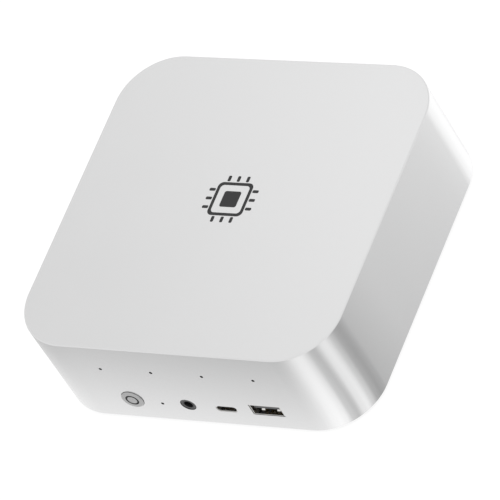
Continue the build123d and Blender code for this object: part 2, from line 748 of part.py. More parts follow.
def usb_c_insert():
    lining = 2 * (SHEET + INSERT_GAP)
    back_y = USB_C_D - USB_C_BACK_L
    back = along_y(SlotOverall(USB_C_W - lining, USB_C_H - lining), 0, USB_C_UP, back_y, USB_C_D)
    return back + along_y(Rectangle(*USB_C_TONGUE), 0, USB_C_UP, USB_C_TONGUE_RECESS, back_y + 1)


def audio_jack():
    """A headphone socket: a block on the board with a collar through the wall, and a blind bore."""
    collar_l = WALL + BOARD_FRONT_GAP
    body = block(-JACK_W / 2, JACK_W / 2, collar_l, JACK_D, 0, JACK_BODY_H)
    collar = rod_y(0, JACK_UP, JACK_COLLAR_R, 0, collar_l + 1)
    return body + collar - rod_y(0, JACK_UP, JACK_BORE_R, -1, JACK_BORE_L)


def audio_ring():
    """The metal ring around the socket's mouth."""
    ring = rod_y(0, JACK_UP, JACK_RING_R, 0, WALL)
    ring = chamfer(ring.edges().group_by(Axis.Y)[0], SHEET / 2)
    return ring - rod_y(0, JACK_UP, JACK_COLLAR_R + INSERT_GAP, -1, WALL + 1)


def profile_shell(inner, depth, up):
    """A sheet shell round a port profile."""
    outer = offset(inner, SHEET, kind=Kind.INTERSECTION)
    return along_y(outer, 0, up, 0, depth) - along_y(inner, 0, up, -1, depth + 1)


def bevelled_profile():
    w, h = BEVELLED_W / 2, BEVELLED_H / 2
    in_x, in_z = BEVELLED_BEVEL
    points = [(-w, h), (w, h), (w, in_z - h), (w - in_x, -h), (in_x - w, -h), (-w, in_z - h)]
    return make_face(Polyline(*points, close=True))


def notched_profile():
    w, h = NOTCHED_W / 2, NOTCHED_H / 2
    points = [(-w, h), (w, h), (w, NOTCHED_CHAMFER - h), (w - NOTCHED_CHAMFER, -h), (-w, -h)]
    return make_face(Polyline(*points, close=True))


def profile_insert(inner, depth, up, tongue):
    """The plastic back of a port, with its tongue."""
    w, t, tongue_up = tongue
    z = up + tongue_up
    back = offset(inner, -INSERT_GAP, kind=Kind.INTERSECTION)
    made = along_y(back, 0, up, depth - VIDEO_BACK_L, depth)
    return made + block(-w / 2, w / 2, VIDEO_TONGUE_RECESS, depth - 1, z, z + t)


def bevelled_video_shell():
    tabs = feet_of(BEVELLED_W / 2 + SHEET, BEVELLED_D, BEVELLED_UP)
    return fused(profile_shell(bevelled_profile(), BEVELLED_D, BEVELLED_UP), tabs)


def notched_video_shell():
    tabs = feet_of(NOTCHED_W / 2 + SHEET, NOTCHED_D, NOTCHED_UP)
    return fused(profile_shell(notched_profile(), NOTCHED_D, NOTCHED_UP), tabs)


def network_shield():
    outer = block(-NET_W / 2, NET_W / 2, 0, NET_D, 0, NET_H)
    return outer - block(-NET_W / 2 + SHEET, NET_W / 2 - SHEET, -1, NET_D - SHEET, SHEET, NET_H - SHEET)


def network_light_places():
    """The middle of each light, in the upper corners of the socket's mouth."""
    w, h = NET_LIGHT
    edge_x, edge_z = NET_LIGHT_EDGE
    x = NET_W / 2 - SHEET - edge_x - w / 2
    return [(s * x, NET_H - SHEET - edge_z - h / 2) for s in (-1, 1)]


def network_insert():
    """The plastic body of the network socket, with the plug's cavity and the latch's notches below it."""
    lining = SHEET + INSERT_GAP
    half_w = NET_W / 2 - lining
    body = block(-half_w, half_w, NET_RECESS, NET_D - lining, lining, NET_H - lining)
    floor = NET_CAVITY_UP
    tools = [block(-NET_CAVITY_W / 2, NET_CAVITY_W / 2, -1, NET_CAVITY_D, floor, floor + NET_CAVITY_H)]
    tools += [block(-w / 2, w / 2, -1, NET_LATCH_L, floor - drop, floor + 1) for w, drop in NET_NOTCHES]
    w, h = (size + 2 * INSERT_GAP for size in NET_LIGHT)
    pocket_y = NET_RECESS + NET_LIGHT_L + INSERT_GAP
    tools += [along_y(Rectangle(w, h), x, z, -1, pocket_y) for x, z in network_light_places()]
    return cut(body, tools)


def network_lights():
    y1 = NET_RECESS + NET_LIGHT_L
    return [along_y(Rectangle(*NET_LIGHT), x, z, NET_RECESS, y1) for x, z in network_light_places()]


def network_contacts():
    """Eight spring wires that lean forward from the roof of the cavity."""
    top = NET_CAVITY_UP + NET_CAVITY_H - NET_WIRE_R - INSERT_GAP
    y0, y1, y2 = NET_WIRE_YS
    wires = []
    for i in range(NET_WIRES):
        x = (i - (NET_WIRES - 1) / 2) * NET_WIRE_PITCH
        path = Polyline((x, y0, top), (x, y1, top), (x, y2, top - NET_WIRE_DROP))
        start = Plane(origin=(x, y0, top), z_dir=(0, 1, 0))
        wires.append(sweep(start * Circle(NET_WIRE_R), path=path, transition=Transition.RIGHT))
    return wires


def inlet_body():
    body = block(-INLET_W / 2, INLET_W / 2, 0, INLET_D, 0, INLET_H)
    bore = rod_y(0, INLET_UP, INLET_BORE_R, -1, INLET_BORE_L)
    seat = rod_y(0, INLET_UP, INLET_ROOT_R, INLET_BORE_L - 1, INLET_D + 1)
    return body - bore - seat


def inlet_pin():
    """The centre pin, with a wider root that the body holds."""
    pin = rod_y(0, INLET_UP, INLET_PIN_R, INLET_BORE_L - INLET_PIN_L, INLET_BORE_L + 1)
    pin = fillet(pin.edges().group_by(Axis.Y)[0], INLET_PIN_R / 2)
    return pin + rod_y(0, INLET_UP, INLET_ROOT_R, INLET_BORE_L, INLET_D)


# ---- board and what is soldered to it ----
CARD_TOP = BOARD_Z - CARD_DROP
CARD_Z = CARD_TOP - CARD_T


def cards():
    """Each card's middle x, length, and the y of its screw."""
    found = [(x, DRIVE_L) for x in DRIVE_XS] + [(WIRELESS_X, WIRELESS_L)]
    return [(x, length, CARD_END_Y - length) for x, length in found]


def main_board():
    y0, y1 = WALL_IN_Y + BOARD_FRONT_GAP, BOARD_Y1
    outline = RectangleRounded(INNER_W - 2 * BOARD_SIDE_GAP, y1 - y0, INNER_R - BOARD_FRONT_GAP)
    plate = Pos(0, (y0 + y1) / 2, BOARD_Z) * extrude(outline, BOARD_T)
    boss_gap_r = BOSS_R + BOARD_BOSS_GAP
    tools = [post(x, y, boss_gap_r, BOARD_Z - 1, BOARD_TOP + 1) for x, y in corners(BOSS_X, BOSS_Y)]
    places = corners(POST_X, POST_Y) + CLAMP_LEGS
    tools += [post(x, y, SHANK_R + PASS_GAP, BOARD_Z - 1, BOARD_TOP + 1) for x, y in places]
    spacers = [post(x, y, SPACER_R, CARD_TOP, BOARD_Z) for x, _, y in cards()]
    tools += [post(x, y, CARD_SCREW_R + TAP_GAP, CARD_TOP - 1, BOARD_TOP + 1) for x, _, y in cards()]
    for x in (-LEAD_X, LEAD_X):
        x0, x1 = x - LEAD_NOTCH / 2, x + LEAD_NOTCH / 2
        tools.append(block(x0, x1, y1 - LEAD_NOTCH, y1 + 1, BOARD_Z - 1, BOARD_TOP + 1))
    return cut(fused(plate, spacers), tools)


def chip(x, y, w, d, z0, z1):
    """A flat block centred at x and y."""
    return block(x - w / 2, x + w / 2, y - d / 2, y + d / 2, z0, z1)


def processor_substrate():
    return chip(0, CPU_Y, CPU_W, CPU_D, BOARD_TOP, BOARD_TOP + CPU_T)


def processor_die():
    z = BOARD_TOP + CPU_T
    return chip(0, CPU_Y, DIE_W, DIE_D, z, z + DIE_T)


def memory_chips():
    """Four memory chips in a row in front of the processor."""
    y = CPU_Y - COLD_SIDE / 2 - MEMORY_D / 2 - MEMORY_GAP
    return [chip(x, y, MEMORY_W, MEMORY_D, BOARD_TOP, BOARD_TOP + MEMORY_T) for x in MEMORY_XS]


def power_inductors():
    ys = [CPU_Y + (i - (INDUCTORS - 1) / 2) * INDUCTOR_PITCH for i in range(INDUCTORS)]
    top = BOARD_TOP + INDUCTOR_H
    coils = [chip(INDUCTOR_X, y, INDUCTOR_W, INDUCTOR_W, BOARD_TOP, top) for y in ys]
    return [fillet(coil.edges().filter_by(Axis.Z), INDUCTOR_R) for coil in coils]


def board_capacitors():
    ys = [CPU_Y + side * (CAPACITOR_OFFSET + i * CAPACITOR_PITCH) for side in (-1, 1) for i in range(3)]
    return [post(CAPACITOR_X, y, CAPACITOR_R, BOARD_TOP, BOARD_TOP + CAPACITOR_H) for y in ys]


def board_chips():
    """Square control chips around the board."""
    return [chip(x, y, side, side, BOARD_TOP, BOARD_TOP + CHIP_H) for x, y, side in CHIPS]


def card_sockets():
    made = []
    for x, _, _ in cards():
        y0 = CARD_END_Y - SOCKET_BITE
        body = block(x - CARD_W / 2, x + CARD_W / 2, y0, y0 + SOCKET_D, BOARD_Z - SOCKET_H, BOARD_Z)
        slot = block(x - CARD_W / 2 - 1, x + CARD_W / 2 + 1, y0 - 1, CARD_END_Y + SOCKET_FIT,
                     CARD_Z - SOCKET_FIT, CARD_TOP + SOCKET_FIT)
        made.append(body - slot)
    return made


def card(x, length, screw_y):
    plate = block(x - CARD_W / 2, x + CARD_W / 2, screw_y, CARD_END_Y, CARD_Z, CARD_TOP)
    return plate - post(x, screw_y, CARD_SCREW_R + PASS_GAP, CARD_Z - 1, CARD_TOP + 1)


def drive_boards():
    return [card(*place) for place in cards()[:2]]


def drive_chips():
    """A controller and two memory chips under each drive's board."""
    z0 = CARD_Z - DRIVE_CHIP_T
    places = [(x, screw_y + away, length) for x, _, screw_y in cards()[:2] for away, length in DRIVE_CHIPS]
    return [chip(x, y, DRIVE_CHIP_W, length, z0, CARD_Z) for x, y, length in places]


def wireless_card():
    x, length, screw_y = cards()[2]
    y0, y1 = (screw_y + away for away in SHIELD_YS)
    shield = block(x - SHIELD_W / 2, x + SHIELD_W / 2, y0, y1, CARD_Z - SHIELD_T, CARD_Z)
    return card(x, length, screw_y) + shield


def card_screws():
    made = []
    for x, _, y in cards():
        shaft = post(x, y, CARD_SCREW_R, CARD_Z, BOARD_TOP)
        made.append(shaft + post(x, y, CARD_HEAD_R, CARD_Z - CARD_HEAD_H, CARD_Z))
    return made


def coin_cell():
    cell = post(CELL_X, CELL_Y, CELL_R, BOARD_TOP, BOARD_TOP + CELL_H)
    return fillet(cell.edges(), CELL_EDGE_R)


# ---- cooler ----
COLD_Z = BOARD_TOP + CPU_T + DIE_T
COLD_TOP = COLD_Z + COLD_T
FIN_PIPE_Z = FIN_Z0 + FIN_PIPE_UP


def heat_pipe(side):
    """From the cold plate out to one side, up past the blower, and back through the fins."""
    y = CPU_Y - side * PIPE_OFFSET
    fin_y = FIN_Y0 + FIN_D * FIN_PIPE_SHARES[0 if side > 0 else 1]
    start_x, side_x, end_x = (-side * (COLD_SIDE / 2 - PIPE_R), side * PIPE_SIDE_X, -side * (FIN_HALF_W - 1))
    points = [
        (start_x, y, COLD_TOP),
        (side_x, y, COLD_TOP),
        (side_x, y + PIPE_SIDE_RUN, COLD_TOP),
        (side_x, FIN_Y0 - PIPE_BEFORE_FINS, FIN_PIPE_Z),
        (side_x, fin_y, FIN_PIPE_Z),
        (end_x, fin_y, FIN_PIPE_Z),
    ]
    path = FilletPolyline(*points, radius=PIPE_BEND)
    start = Plane(origin=points[0], z_dir=(side, 0, 0))
    return sweep(start * Circle(PIPE_R), path=path)


def cold_plate():
    plate = chip(0, CPU_Y, COLD_SIDE, COLD_SIDE, COLD_Z, COLD_TOP)
    groove = Rot(0, 90, 0) * Cylinder(PIPE_R, COLD_SIDE + 2)
    return cut(plate, [Pos(0, CPU_Y + s * PIPE_OFFSET, COLD_TOP) * groove for s in (-1, 1)])


def cooler_clamps():
    """Two sprung bars that press the cold plate down, each on two legs."""
    made = []
    top = COLD_TOP + CLAMP_T
    for y in (CPU_Y - CLAMP_OFFSET, CPU_Y + CLAMP_OFFSET):
        bar = chip(0, y, 2 * CLAMP_LEG_X, CLAMP_D, COLD_TOP, top)
        legs = [post(x, y, CLAMP_LEG_R, BOARD_TOP, top) for x in (-CLAMP_LEG_X, CLAMP_LEG_X)]
        holes = [post(x, y, SHANK_R + TAP_GAP, BOARD_TOP - 1, top + 1) for x in (-CLAMP_LEG_X, CLAMP_LEG_X)]
        made.append(cut(fused(bar, legs), holes))
    return made


def fin_stack():
    body = block(-FIN_HALF_W, FIN_HALF_W, FIN_Y0, FIN_Y1, FIN_Z0, FIN_Z1)
    gaps = int((2 * FIN_HALF_W - FIN_T) / FIN_PITCH)
    air = Rectangle(FIN_PITCH - FIN_T, FIN_Z1 - FIN_Z0 - 2 * FIN_SHEET)
    middles = [(i - (gaps - 1) / 2) * FIN_PITCH for i in range(gaps)]
    tools = [along_y(air, x, (FIN_Z0 + FIN_Z1) / 2, FIN_Y0 - 1, FIN_Y1 + 1) for x in middles]
    bore = Rot(0, 90, 0) * Cylinder(PIPE_R, 2 * FIN_HALF_W + 2)
    tools += [Pos(0, FIN_Y0 + FIN_D * share, FIN_PIPE_Z) * bore for share in FIN_PIPE_SHARES]
    return cut(body, tools)


# ---- blower ----
def fan_outline(r, y1):
    """A half circle at the front and straight sides to the outlet."""
    return Pos(0, FAN_Y) * Circle(r) + Pos(0, (FAN_Y + y1) / 2) * Rectangle(2 * r, y1 - FAN_Y)


def fan_frame():
    """The blower's floor and wall, with its ears, the spokes across its eye and the bearing's tube."""
    y1 = FIN_Y0 - FAN_DUCT_GAP
    top = FAN_Z1 - FAN_COVER_T
    floor_top = FAN_Z0 + FAN_FLOOR
    body = Pos(0, 0, FAN_Z0) * extrude(fan_outline(FAN_R, y1), top - FAN_Z0)
    for x, y in FAN_EARS:
        web = block(min(0, x), max(0, x), y - FAN_EAR_R, y + FAN_EAR_R, FAN_Z1 - FAN_EAR_T, top)
        body = body + web + post(x, y, FAN_EAR_R, FAN_Z1 - FAN_EAR_T, FAN_Z1)
    inside = Pos(0, 0, floor_top) * extrude(fan_outline(FAN_R - FAN_WALL, y1 + 5), FAN_Z1)
    body = body - inside - post(0, FAN_Y, FAN_EYE_R, FAN_Z0 - 1, floor_top + 1)
    spoke = Box(2 * FAN_EYE_R + 2, SPOKE_W, FAN_FLOOR)
    made = [Pos(0, FAN_Y, FAN_Z0 + FAN_FLOOR / 2) * Rot(0, 0, turn) * spoke for turn in SPOKE_TURNS]
    made.append(post(0, FAN_Y, HUB_R, FAN_Z0, floor_top))
    made.append(post(0, FAN_Y, TUBE_R, FAN_Z0, shaft_top() - BEARING_TOP_GAP))
    nose = extrude(RectangleRounded(NOSE_W, NOSE_L, NOSE_R), top - FAN_Z0)
    made.append(Pos(FAN_WALL + NOSE_R - FAN_R, FIN_Y0 - NOSE_BEFORE_FINS, FAN_Z0) * nose)
    tools = [post(0, FAN_Y, BEARING_R, floor_top, HEIGHT)]
    tools += [post(x, y, SHANK_R + PASS_GAP, FAN_Z0, HEIGHT) for x, y in FAN_EARS]
    return cut(fused(body, made), tools)


def fan_cover():
    plate = Pos(0, 0, FAN_Z1 - FAN_COVER_T) * extrude(fan_outline(FAN_R, FIN_Y0 - FAN_DUCT_GAP), FAN_COVER_T)
    notches = [post(x, y, FAN_EAR_R + PASS_GAP, FAN_Z0, HEIGHT) for x, y in FAN_EARS]
    return cut(plate, [post(0, FAN_Y, FAN_EYE_R, FAN_Z0, HEIGHT)] + notches)


def shaft_top():
    return FAN_Z1 - FAN_COVER_T - FAN_RUN_GAP


def fan_bearing():
    z0, z1 = FAN_Z0 + FAN_FLOOR, shaft_top() - BEARING_TOP_GAP
    bore = post(0, FAN_Y, SHAFT_R + BEARING_GAP, z0 + BEARING_FLOOR, z1 + 1)
    return post(0, FAN_Y, BEARING_R, z0, z1) - bore


def fan_shaft():
    return post(0, FAN_Y, SHAFT_R, FAN_Z0 + FAN_FLOOR + SHAFT_LIFT, shaft_top() - 1)


def fan_stator():
    z0, z1 = FAN_Z0 + FAN_FLOOR + STATOR_LIFT, shaft_top() - STATOR_TOP_GAP
    ring = post(0, FAN_Y, STATOR_R, z0, z1) - post(0, FAN_Y, TUBE_R, z0 - 1, z1 + 1)
    deep, wide = STATOR_SLOT
    slot = Pos(STATOR_R + 0.5 - deep / 2, 0, 0) * Box(deep, wide, z1 - z0 + 2)
    turns = [i * 360 / STATOR_TEETH for i in range(STATOR_TEETH)]
    return cut(ring, [Pos(0, FAN_Y, (z0 + z1) / 2) * Rot(0, 0, turn) * slot for turn in turns])


def fan_impeller():
    """A cup that covers the stator, with curved blades tied by a thin ring."""
    z0, z1 = FAN_Z0 + FAN_FLOOR + FAN_RUN_GAP, shaft_top()
    hub = post(0, FAN_Y, HUB_R, z0, z1) - post(0, FAN_Y, HUB_R - HUB_WALL, z0 - 1, z1 - HUB_WALL)
    hub = hub + post(0, FAN_Y, 2 * SHAFT_R, z1 - SHAFT_SEAT_H, z1)
    start, end = Vector(HUB_R - HUB_WALL / 2, 0), Vector(BLADE_R, 0).rotate(Axis.Z, BLADE_SWEEP)
    middle = Vector((HUB_R + BLADE_R) / 2, 0).rotate(Axis.Z, BLADE_BOW * BLADE_SWEEP)
    blade = trace(ThreePointArc(start, middle, end), line_width=BLADE_T)
    blades = Sketch() + [Rot(0, 0, i * 360 / BLADES) * blade for i in range(BLADES)]
    rotor = hub + Pos(0, FAN_Y, z0) * extrude(blades, z1 - z0 - BLADE_BELOW_CUP)
    tie = post(0, FAN_Y, BLADE_R, z0, z0 + TIE_H) - post(0, FAN_Y, BLADE_R - TIE_W, z0 - 1, z1)
    return rotor + tie - post(0, FAN_Y, SHAFT_R, FAN_Z0, z1 - 1)


# ---- speakers, antennas and leads ----
def speaker(side):
    x = INNER_W / 2 - SPEAKER_SIDE_GAP - SPEAKER_W / 2
    z0 = ROOF_IN - SPEAKER_H
    box = chip(x, SPEAKER_Y, SPEAKER_W, SPEAKER_L, z0, ROOF_IN)
    box = fillet(box.edges().filter_by(Axis.Z), SPEAKER_R)
    cone = extrude(SlotOverall(SPEAKER_L - CONE_MARGIN, CONE_W, rotation=90), CONE_DEEP)
    made = box - Pos(x, SPEAKER_Y, z0) * cone
    return made if side > 0 else mirror(made, about=Plane.YZ)


def antennas():
    """Two sheet antennas behind the rear panel, which is plastic."""
    y1 = PANEL_Y - PANEL_T
    z = REAR_SLOT_Z0 + ANTENNA_H / 2
    sheet = Rectangle(ANTENNA_W, ANTENNA_H)
    return [along_y(sheet, x, z, y1 - ANTENNA_T, y1) for x in (-ANTENNA_X, ANTENNA_X)]


def lead(points, r, bend):
    """A round lead along straight runs, with each arc as large as its runs allow up to a given bend."""
    spots = [Vector(*p) for p in points]
    radii = []
    for before, at, after in zip(spots, spots[1:], spots[2:]):
        turn = radians((at - before).get_angle(after - at))
        shorter = min((at - before).length, (after - at).length)
        radii.append(min(bend, 0.45 * shorter / tan(turn / 2)))
    path = FilletPolyline(*spots, radius=radii)
    return sweep(Plane(origin=spots[0], z_dir=spots[1] - spots[0]) * Circle(r), path=path)


def antenna_leads():
    """From each antenna through the board's rear notch, then below the cards to the wireless card."""
    antenna_y = PANEL_Y - PANEL_T - ANTENNA_T - LEAD_R
    notch_y = BOARD_Y1 - LEAD_NOTCH / 2
    low = CARD_Z - LEAD_R - LEAD_UNDER_CARD
    plug_y = CARD_END_Y - WIRELESS_L + LEAD_PLUG_Y
    made = []
    for s in (-1, 1):
        plug_x = WIRELESS_X + s * (CARD_W / 2 - LEAD_PLUG_INSET)
        beside_x = WIRELESS_X + s * (CARD_W / 2 + LEAD_CARD_GAP)
        points = [
            (s * ANTENNA_X, antenna_y, REAR_SLOT_Z0 + LEAD_START_UP),
            (s * LEAD_X, notch_y, REAR_SLOT_Z0 - LEAD_DROP),
            (s * LEAD_X, notch_y, low + 1),
            (s * (LEAD_X - 1), LEAD_CROSS_Y, low),
        ]
        if s > 0:
            points.append((LEAD_X / 2, LEAD_CROSS_Y - 1, low))
        points += [(beside_x, LEAD_CROSS_Y - 2, low), (beside_x, plug_y + 3, low), (plug_x, plug_y, low)]
        plug = post(plug_x, plug_y, LEAD_PLUG_R, low - LEAD_R - LEAD_PLUG_RIM, CARD_Z)
        made.append(lead(points, LEAD_R, LEAD_BEND) + plug)
    return made


FAN_LEAD_WAY = Vector(cos(radians(45)), -sin(radians(45)), 0)
FAN_PLUG_AT = Vector(0, FAN_Y, 0) + FAN_LEAD_WAY * (FAN_PLUG_X / FAN_LEAD_WAY.X)


def fan_lead():
    """From the blower's wall, out and down to its plug on the board."""
    exit_at = Vector(0, FAN_Y, FAN_Z0 + FAN_LEAD_UP) + FAN_LEAD_WAY * FAN_R
    over_plug = Vector(FAN_PLUG_AT.X, FAN_PLUG_AT.Y, FAN_Z0 + FAN_LEAD_UP)
    plug_top = Vector(FAN_PLUG_AT.X, FAN_PLUG_AT.Y, BOARD_TOP + FAN_PLUG_SIZE[2])
    return lead([tuple(exit_at), tuple(over_plug), tuple(plug_top)], FAN_LEAD_R, 3 * FAN_LEAD_R)


def fan_lead_plug():
    w, d, h = FAN_PLUG_SIZE
    plug = chip(FAN_PLUG_AT.X, FAN_PLUG_AT.Y, w, d, BOARD_TOP, BOARD_TOP + h)
    return chamfer(plug.edges().group_by(Axis.Z)[-1], FAN_PLUG_CHAMFER)


def parts():
    """Every node with its solid or group of solids."""
    bevelled_insert = profile_insert(bevelled_profile(), BEVELLED_D, BEVELLED_UP, BEVELLED_TONGUE)
    notched_insert = profile_insert(notched_profile(), NOTCHED_D, NOTCHED_UP, NOTCHED_TONGUE)
    video_shells = [at_rear(BEVELLED_X, bevelled_video_shell()), at_rear(NOTCHED_X, notched_video_shell())]
    return {
        "top_shell": top_shell(),
        "base_cover": base_cover(),
        "dust_filter": dust_filter(),
        "rubber_feet": [rubber_foot(x, y) for x, y in foot_places()],
        "rear_panel": rear_panel(),
        "base_screws": base_screws(),
        "machine_screws": machine_screws(),
        "power_button_rim": button_rim(),
        "power_button_centre": button_centre(),
        "power_button_carrier": button_carrier(),
        "switch_bodies": switch_bodies(),
        "power_switch_plunger": switch_plunger(BUTTON_X, POWER_PLUNGER_Y, BUTTON_UP),
        "reset_switch_plunger": switch_plunger(RESET_X, RESET_PLUNGER_Y, RESET_UP),
        "microphone_gaskets": microphone_gaskets(),
        "microphone_board": microphone_board(),
        "microphones": microphones(),
        "front_usb_a_shell": at_front(USB_A_X, usb_a_shell()),
        "front_usb_a_insert": at_front(USB_A_X, usb_a_insert()),
        "usb_c_shells": [at_front(USB_C_X, usb_c_shell()), at_rear(REAR_USB_C_X, usb_c_shell())],
        "usb_c_inserts": [at_front(USB_C_X, usb_c_insert()), at_rear(REAR_USB_C_X, usb_c_insert())],
        "audio_jacks": [at_front(JACK_X, audio_jack()), at_rear(REAR_JACK_X, audio_jack())],
        "audio_jack_rings": [at_front(JACK_X, audio_ring()), at_rear(REAR_JACK_X, audio_ring())],
        "rear_usb_a_shell": at_rear(STACK_X, usb_a_stack_shell()),
        "rear_usb_a_insert": at_rear(STACK_X, usb_a_stack_insert()),
        "video_port_shells": video_shells,
        "video_port_inserts": [at_rear(BEVELLED_X, bevelled_insert), at_rear(NOTCHED_X, notched_insert)],
        "network_jack_shield": at_rear(NET_X, network_shield()),
        "network_jack_insert": at_rear(NET_X, network_insert()),
        "network_jack_contacts": [at_rear(NET_X, wire) for wire in network_contacts()],
        "network_jack_lights": [at_rear(NET_X, light) for light in network_lights()],
        "power_inlet_body": at_rear(INLET_X, inlet_body()),
        "power_inlet_pin": at_rear(INLET_X, inlet_pin()),
        "main_board": main_board(),
        "processor_substrate": processor_substrate(),
        "processor_die": processor_die(),
        "memory_chips": memory_chips(),
        "power_inductors": power_inductors(),
        "board_capacitors": board_capacitors(),
        "board_chips": board_chips(),
        "card_sockets": card_sockets(),
        "drive_boards": drive_boards(),
        "drive_chips": drive_chips(),
        "wireless_card": wireless_card(),
        "card_screws": card_screws(),
        "coin_cell": coin_cell(),
        "cold_plate": cold_plate(),
        "heat_pipes": [heat_pipe(1), heat_pipe(-1)],
        "cooler_clamps": cooler_clamps(),
        "fin_stack": fin_stack(),
        "fan_frame": fan_frame(),
        "fan_cover": fan_cover(),
        "fan_bearing": fan_bearing(),
        "fan_shaft": fan_shaft(),
        "fan_stator": fan_stator(),
        "fan_impeller": fan_impeller(),
        "speakers": [speaker(1), speaker(-1)],
        "antennas": antennas(),
        "antenna_leads": antenna_leads(),
        "fan_lead": fan_lead(),
        "fan_lead_plug": fan_lead_plug(),
    }


def write(name, shape):
    """One STEP file, from one solid or from a group."""
    if isinstance(shape, list):
        shape = Compound(children=[solid for piece in shape for solid in piece.solids()])
    export_step(shape, f"parts/{name}.step")


if __name__ == "__main__":
    os.makedirs("parts", exist_ok=True)
    for node, piece in parts().items():
        write(node, piece)
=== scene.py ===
# %% [markdown]
# # A small square computer in satin aluminium
# The hard parts come from a CAD model that is loaded as a fixed frame. Blender gives them their finishes,
# adds the fine pieces that a finish can't show, and sets up the floor, the light and the camera.

# %% Load the frame
import bpy
import json
from math import cos, radians, sin, pi
from mathutils import Matrix, Vector

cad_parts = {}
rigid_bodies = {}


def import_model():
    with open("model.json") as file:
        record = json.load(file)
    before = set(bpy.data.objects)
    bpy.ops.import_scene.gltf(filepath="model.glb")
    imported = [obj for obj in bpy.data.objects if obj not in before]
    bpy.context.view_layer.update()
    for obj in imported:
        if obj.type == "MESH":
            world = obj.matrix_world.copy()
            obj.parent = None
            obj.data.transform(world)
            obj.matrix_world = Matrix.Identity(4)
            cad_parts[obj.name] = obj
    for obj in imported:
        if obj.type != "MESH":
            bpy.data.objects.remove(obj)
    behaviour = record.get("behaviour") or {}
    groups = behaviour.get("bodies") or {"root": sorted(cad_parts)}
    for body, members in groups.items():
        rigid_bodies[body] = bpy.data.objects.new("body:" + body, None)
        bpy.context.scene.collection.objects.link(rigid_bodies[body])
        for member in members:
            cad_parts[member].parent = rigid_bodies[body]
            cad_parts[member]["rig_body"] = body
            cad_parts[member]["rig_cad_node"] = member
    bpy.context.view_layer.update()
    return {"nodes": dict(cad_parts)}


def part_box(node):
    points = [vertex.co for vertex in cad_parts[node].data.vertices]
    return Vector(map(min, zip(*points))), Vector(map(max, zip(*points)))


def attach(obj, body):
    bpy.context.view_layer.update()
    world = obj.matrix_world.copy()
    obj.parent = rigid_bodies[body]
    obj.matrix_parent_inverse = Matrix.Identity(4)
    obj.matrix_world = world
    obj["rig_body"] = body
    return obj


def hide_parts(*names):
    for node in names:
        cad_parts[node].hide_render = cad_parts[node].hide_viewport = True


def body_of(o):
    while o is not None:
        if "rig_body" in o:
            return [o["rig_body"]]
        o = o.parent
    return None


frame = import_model()
nodes = frame["nodes"]
MM = 0.001

# %% [markdown]
# Some places are needed more than once: the front and the roof of the shell, and the middle of a node. They
# are read from the frame, so they follow the CAD model when it changes.

# %% Places read from the frame
shell_low, shell_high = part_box("top_shell")
FRONT_Y = shell_low.y
ROOF_Z = shell_high.z


def middle(node):
    low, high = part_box(node)
    return (low + high) / 2


print("roof at", round(ROOF_Z / MM, 1), "mm, front at", round(FRONT_Y / MM, 1), "mm")

# %% [markdown]
# An operator works on everything that is selected, so each piece starts from an empty selection. These
# helpers select one piece, add a box from two of its corners with its place kept in its mesh, and join
# pieces into one.

# %% Modelling helpers


def select_only(piece):
    bpy.ops.object.select_all(action="DESELECT")
    piece.select_set(True)
    bpy.context.view_layer.objects.active = piece


def new_box(name, low, high):
    bpy.ops.object.select_all(action="DESELECT")
    bpy.ops.mesh.primitive_cube_add(size=1, location=(low + high) / 2)
    piece = bpy.context.object
    piece.name = name
    piece.scale = high - low
    select_only(piece)
    bpy.ops.object.transform_apply(location=True, rotation=True, scale=True)
    return piece


def join(pieces, name):
    bpy.ops.object.select_all(action="DESELECT")
    for piece in pieces:
        piece.select_set(True)
    bpy.context.view_layer.objects.active = pieces[0]
    if len(pieces) > 1:
        bpy.ops.object.join()
    pieces[0].name = name
    return pieces[0]


print("helpers are ready")

# %% [markdown]
# ## Effects
# Bead-blasted metal, moulded plastic and spun metal each have a fine surface that catches light. Each
# effect is a node group, built once, that puts out a mask or a height. The shaders stay in the materials.

# %% Start a node group


def start_group(name, inputs, outputs):
    group = bpy.data.node_groups.new(name, "ShaderNodeTree")
    for label, value in inputs:
        socket = group.interface.new_socket(name=label, in_out="INPUT", socket_type="NodeSocketFloat")
        socket.default_value = value
    for label in outputs:
        group.interface.new_socket(name=label, in_out="OUTPUT", socket_type="NodeSocketFloat")
    enter = group.nodes.new("NodeGroupInput")
    leave = group.nodes.new("NodeGroupOutput")
    place = group.nodes.new("ShaderNodeTexCoord")
    return group, enter, leave, place


def maths(tree, operation, first, second=None):
    node = tree.nodes.new("ShaderNodeMath")
    node.operation = operation
    for socket, value in zip(node.inputs, (first, second)):
        if value is None:
            continue
        if isinstance(value, (int, float)):
            socket.default_value = value
        else:
            tree.links.new(value, socket)
    return node.outputs[0]


# %% [markdown]
# Bead blasting leaves fine pits all over. The group has two noises at different scales: the fine one is the
# height of the pits, and the broad one is a mask for the slight cloudiness of an anodised sheet.

# %% Grain


def make_grain():
    group, enter, leave, place = start_group("grain", [("Size", 3000.0), ("Cloud", 40.0)], ["Height", "Mask"])
    fine = group.nodes.new("ShaderNodeTexNoise")
    broad = group.nodes.new("ShaderNodeTexNoise")
    fine.inputs["Detail"].default_value = 3
    broad.inputs["Detail"].default_value = 2
    for noise, size in ((fine, "Size"), (broad, "Cloud")):
        group.links.new(place.outputs["Object"], noise.inputs["Vector"])
        group.links.new(enter.outputs[size], noise.inputs["Scale"])
    group.links.new(fine.outputs["Fac"], leave.inputs["Height"])
    group.links.new(broad.outputs["Fac"], leave.inputs["Mask"])
    return group


GRAIN = make_grain()
print("grain is ready")

# %% [markdown]
# A spun face has fine rings round its middle. They are a noise that changes only with the distance from an
# axis, which runs along Y through X and Z.

# %% Spun rings
RING_PITCH = 0.12 * MM


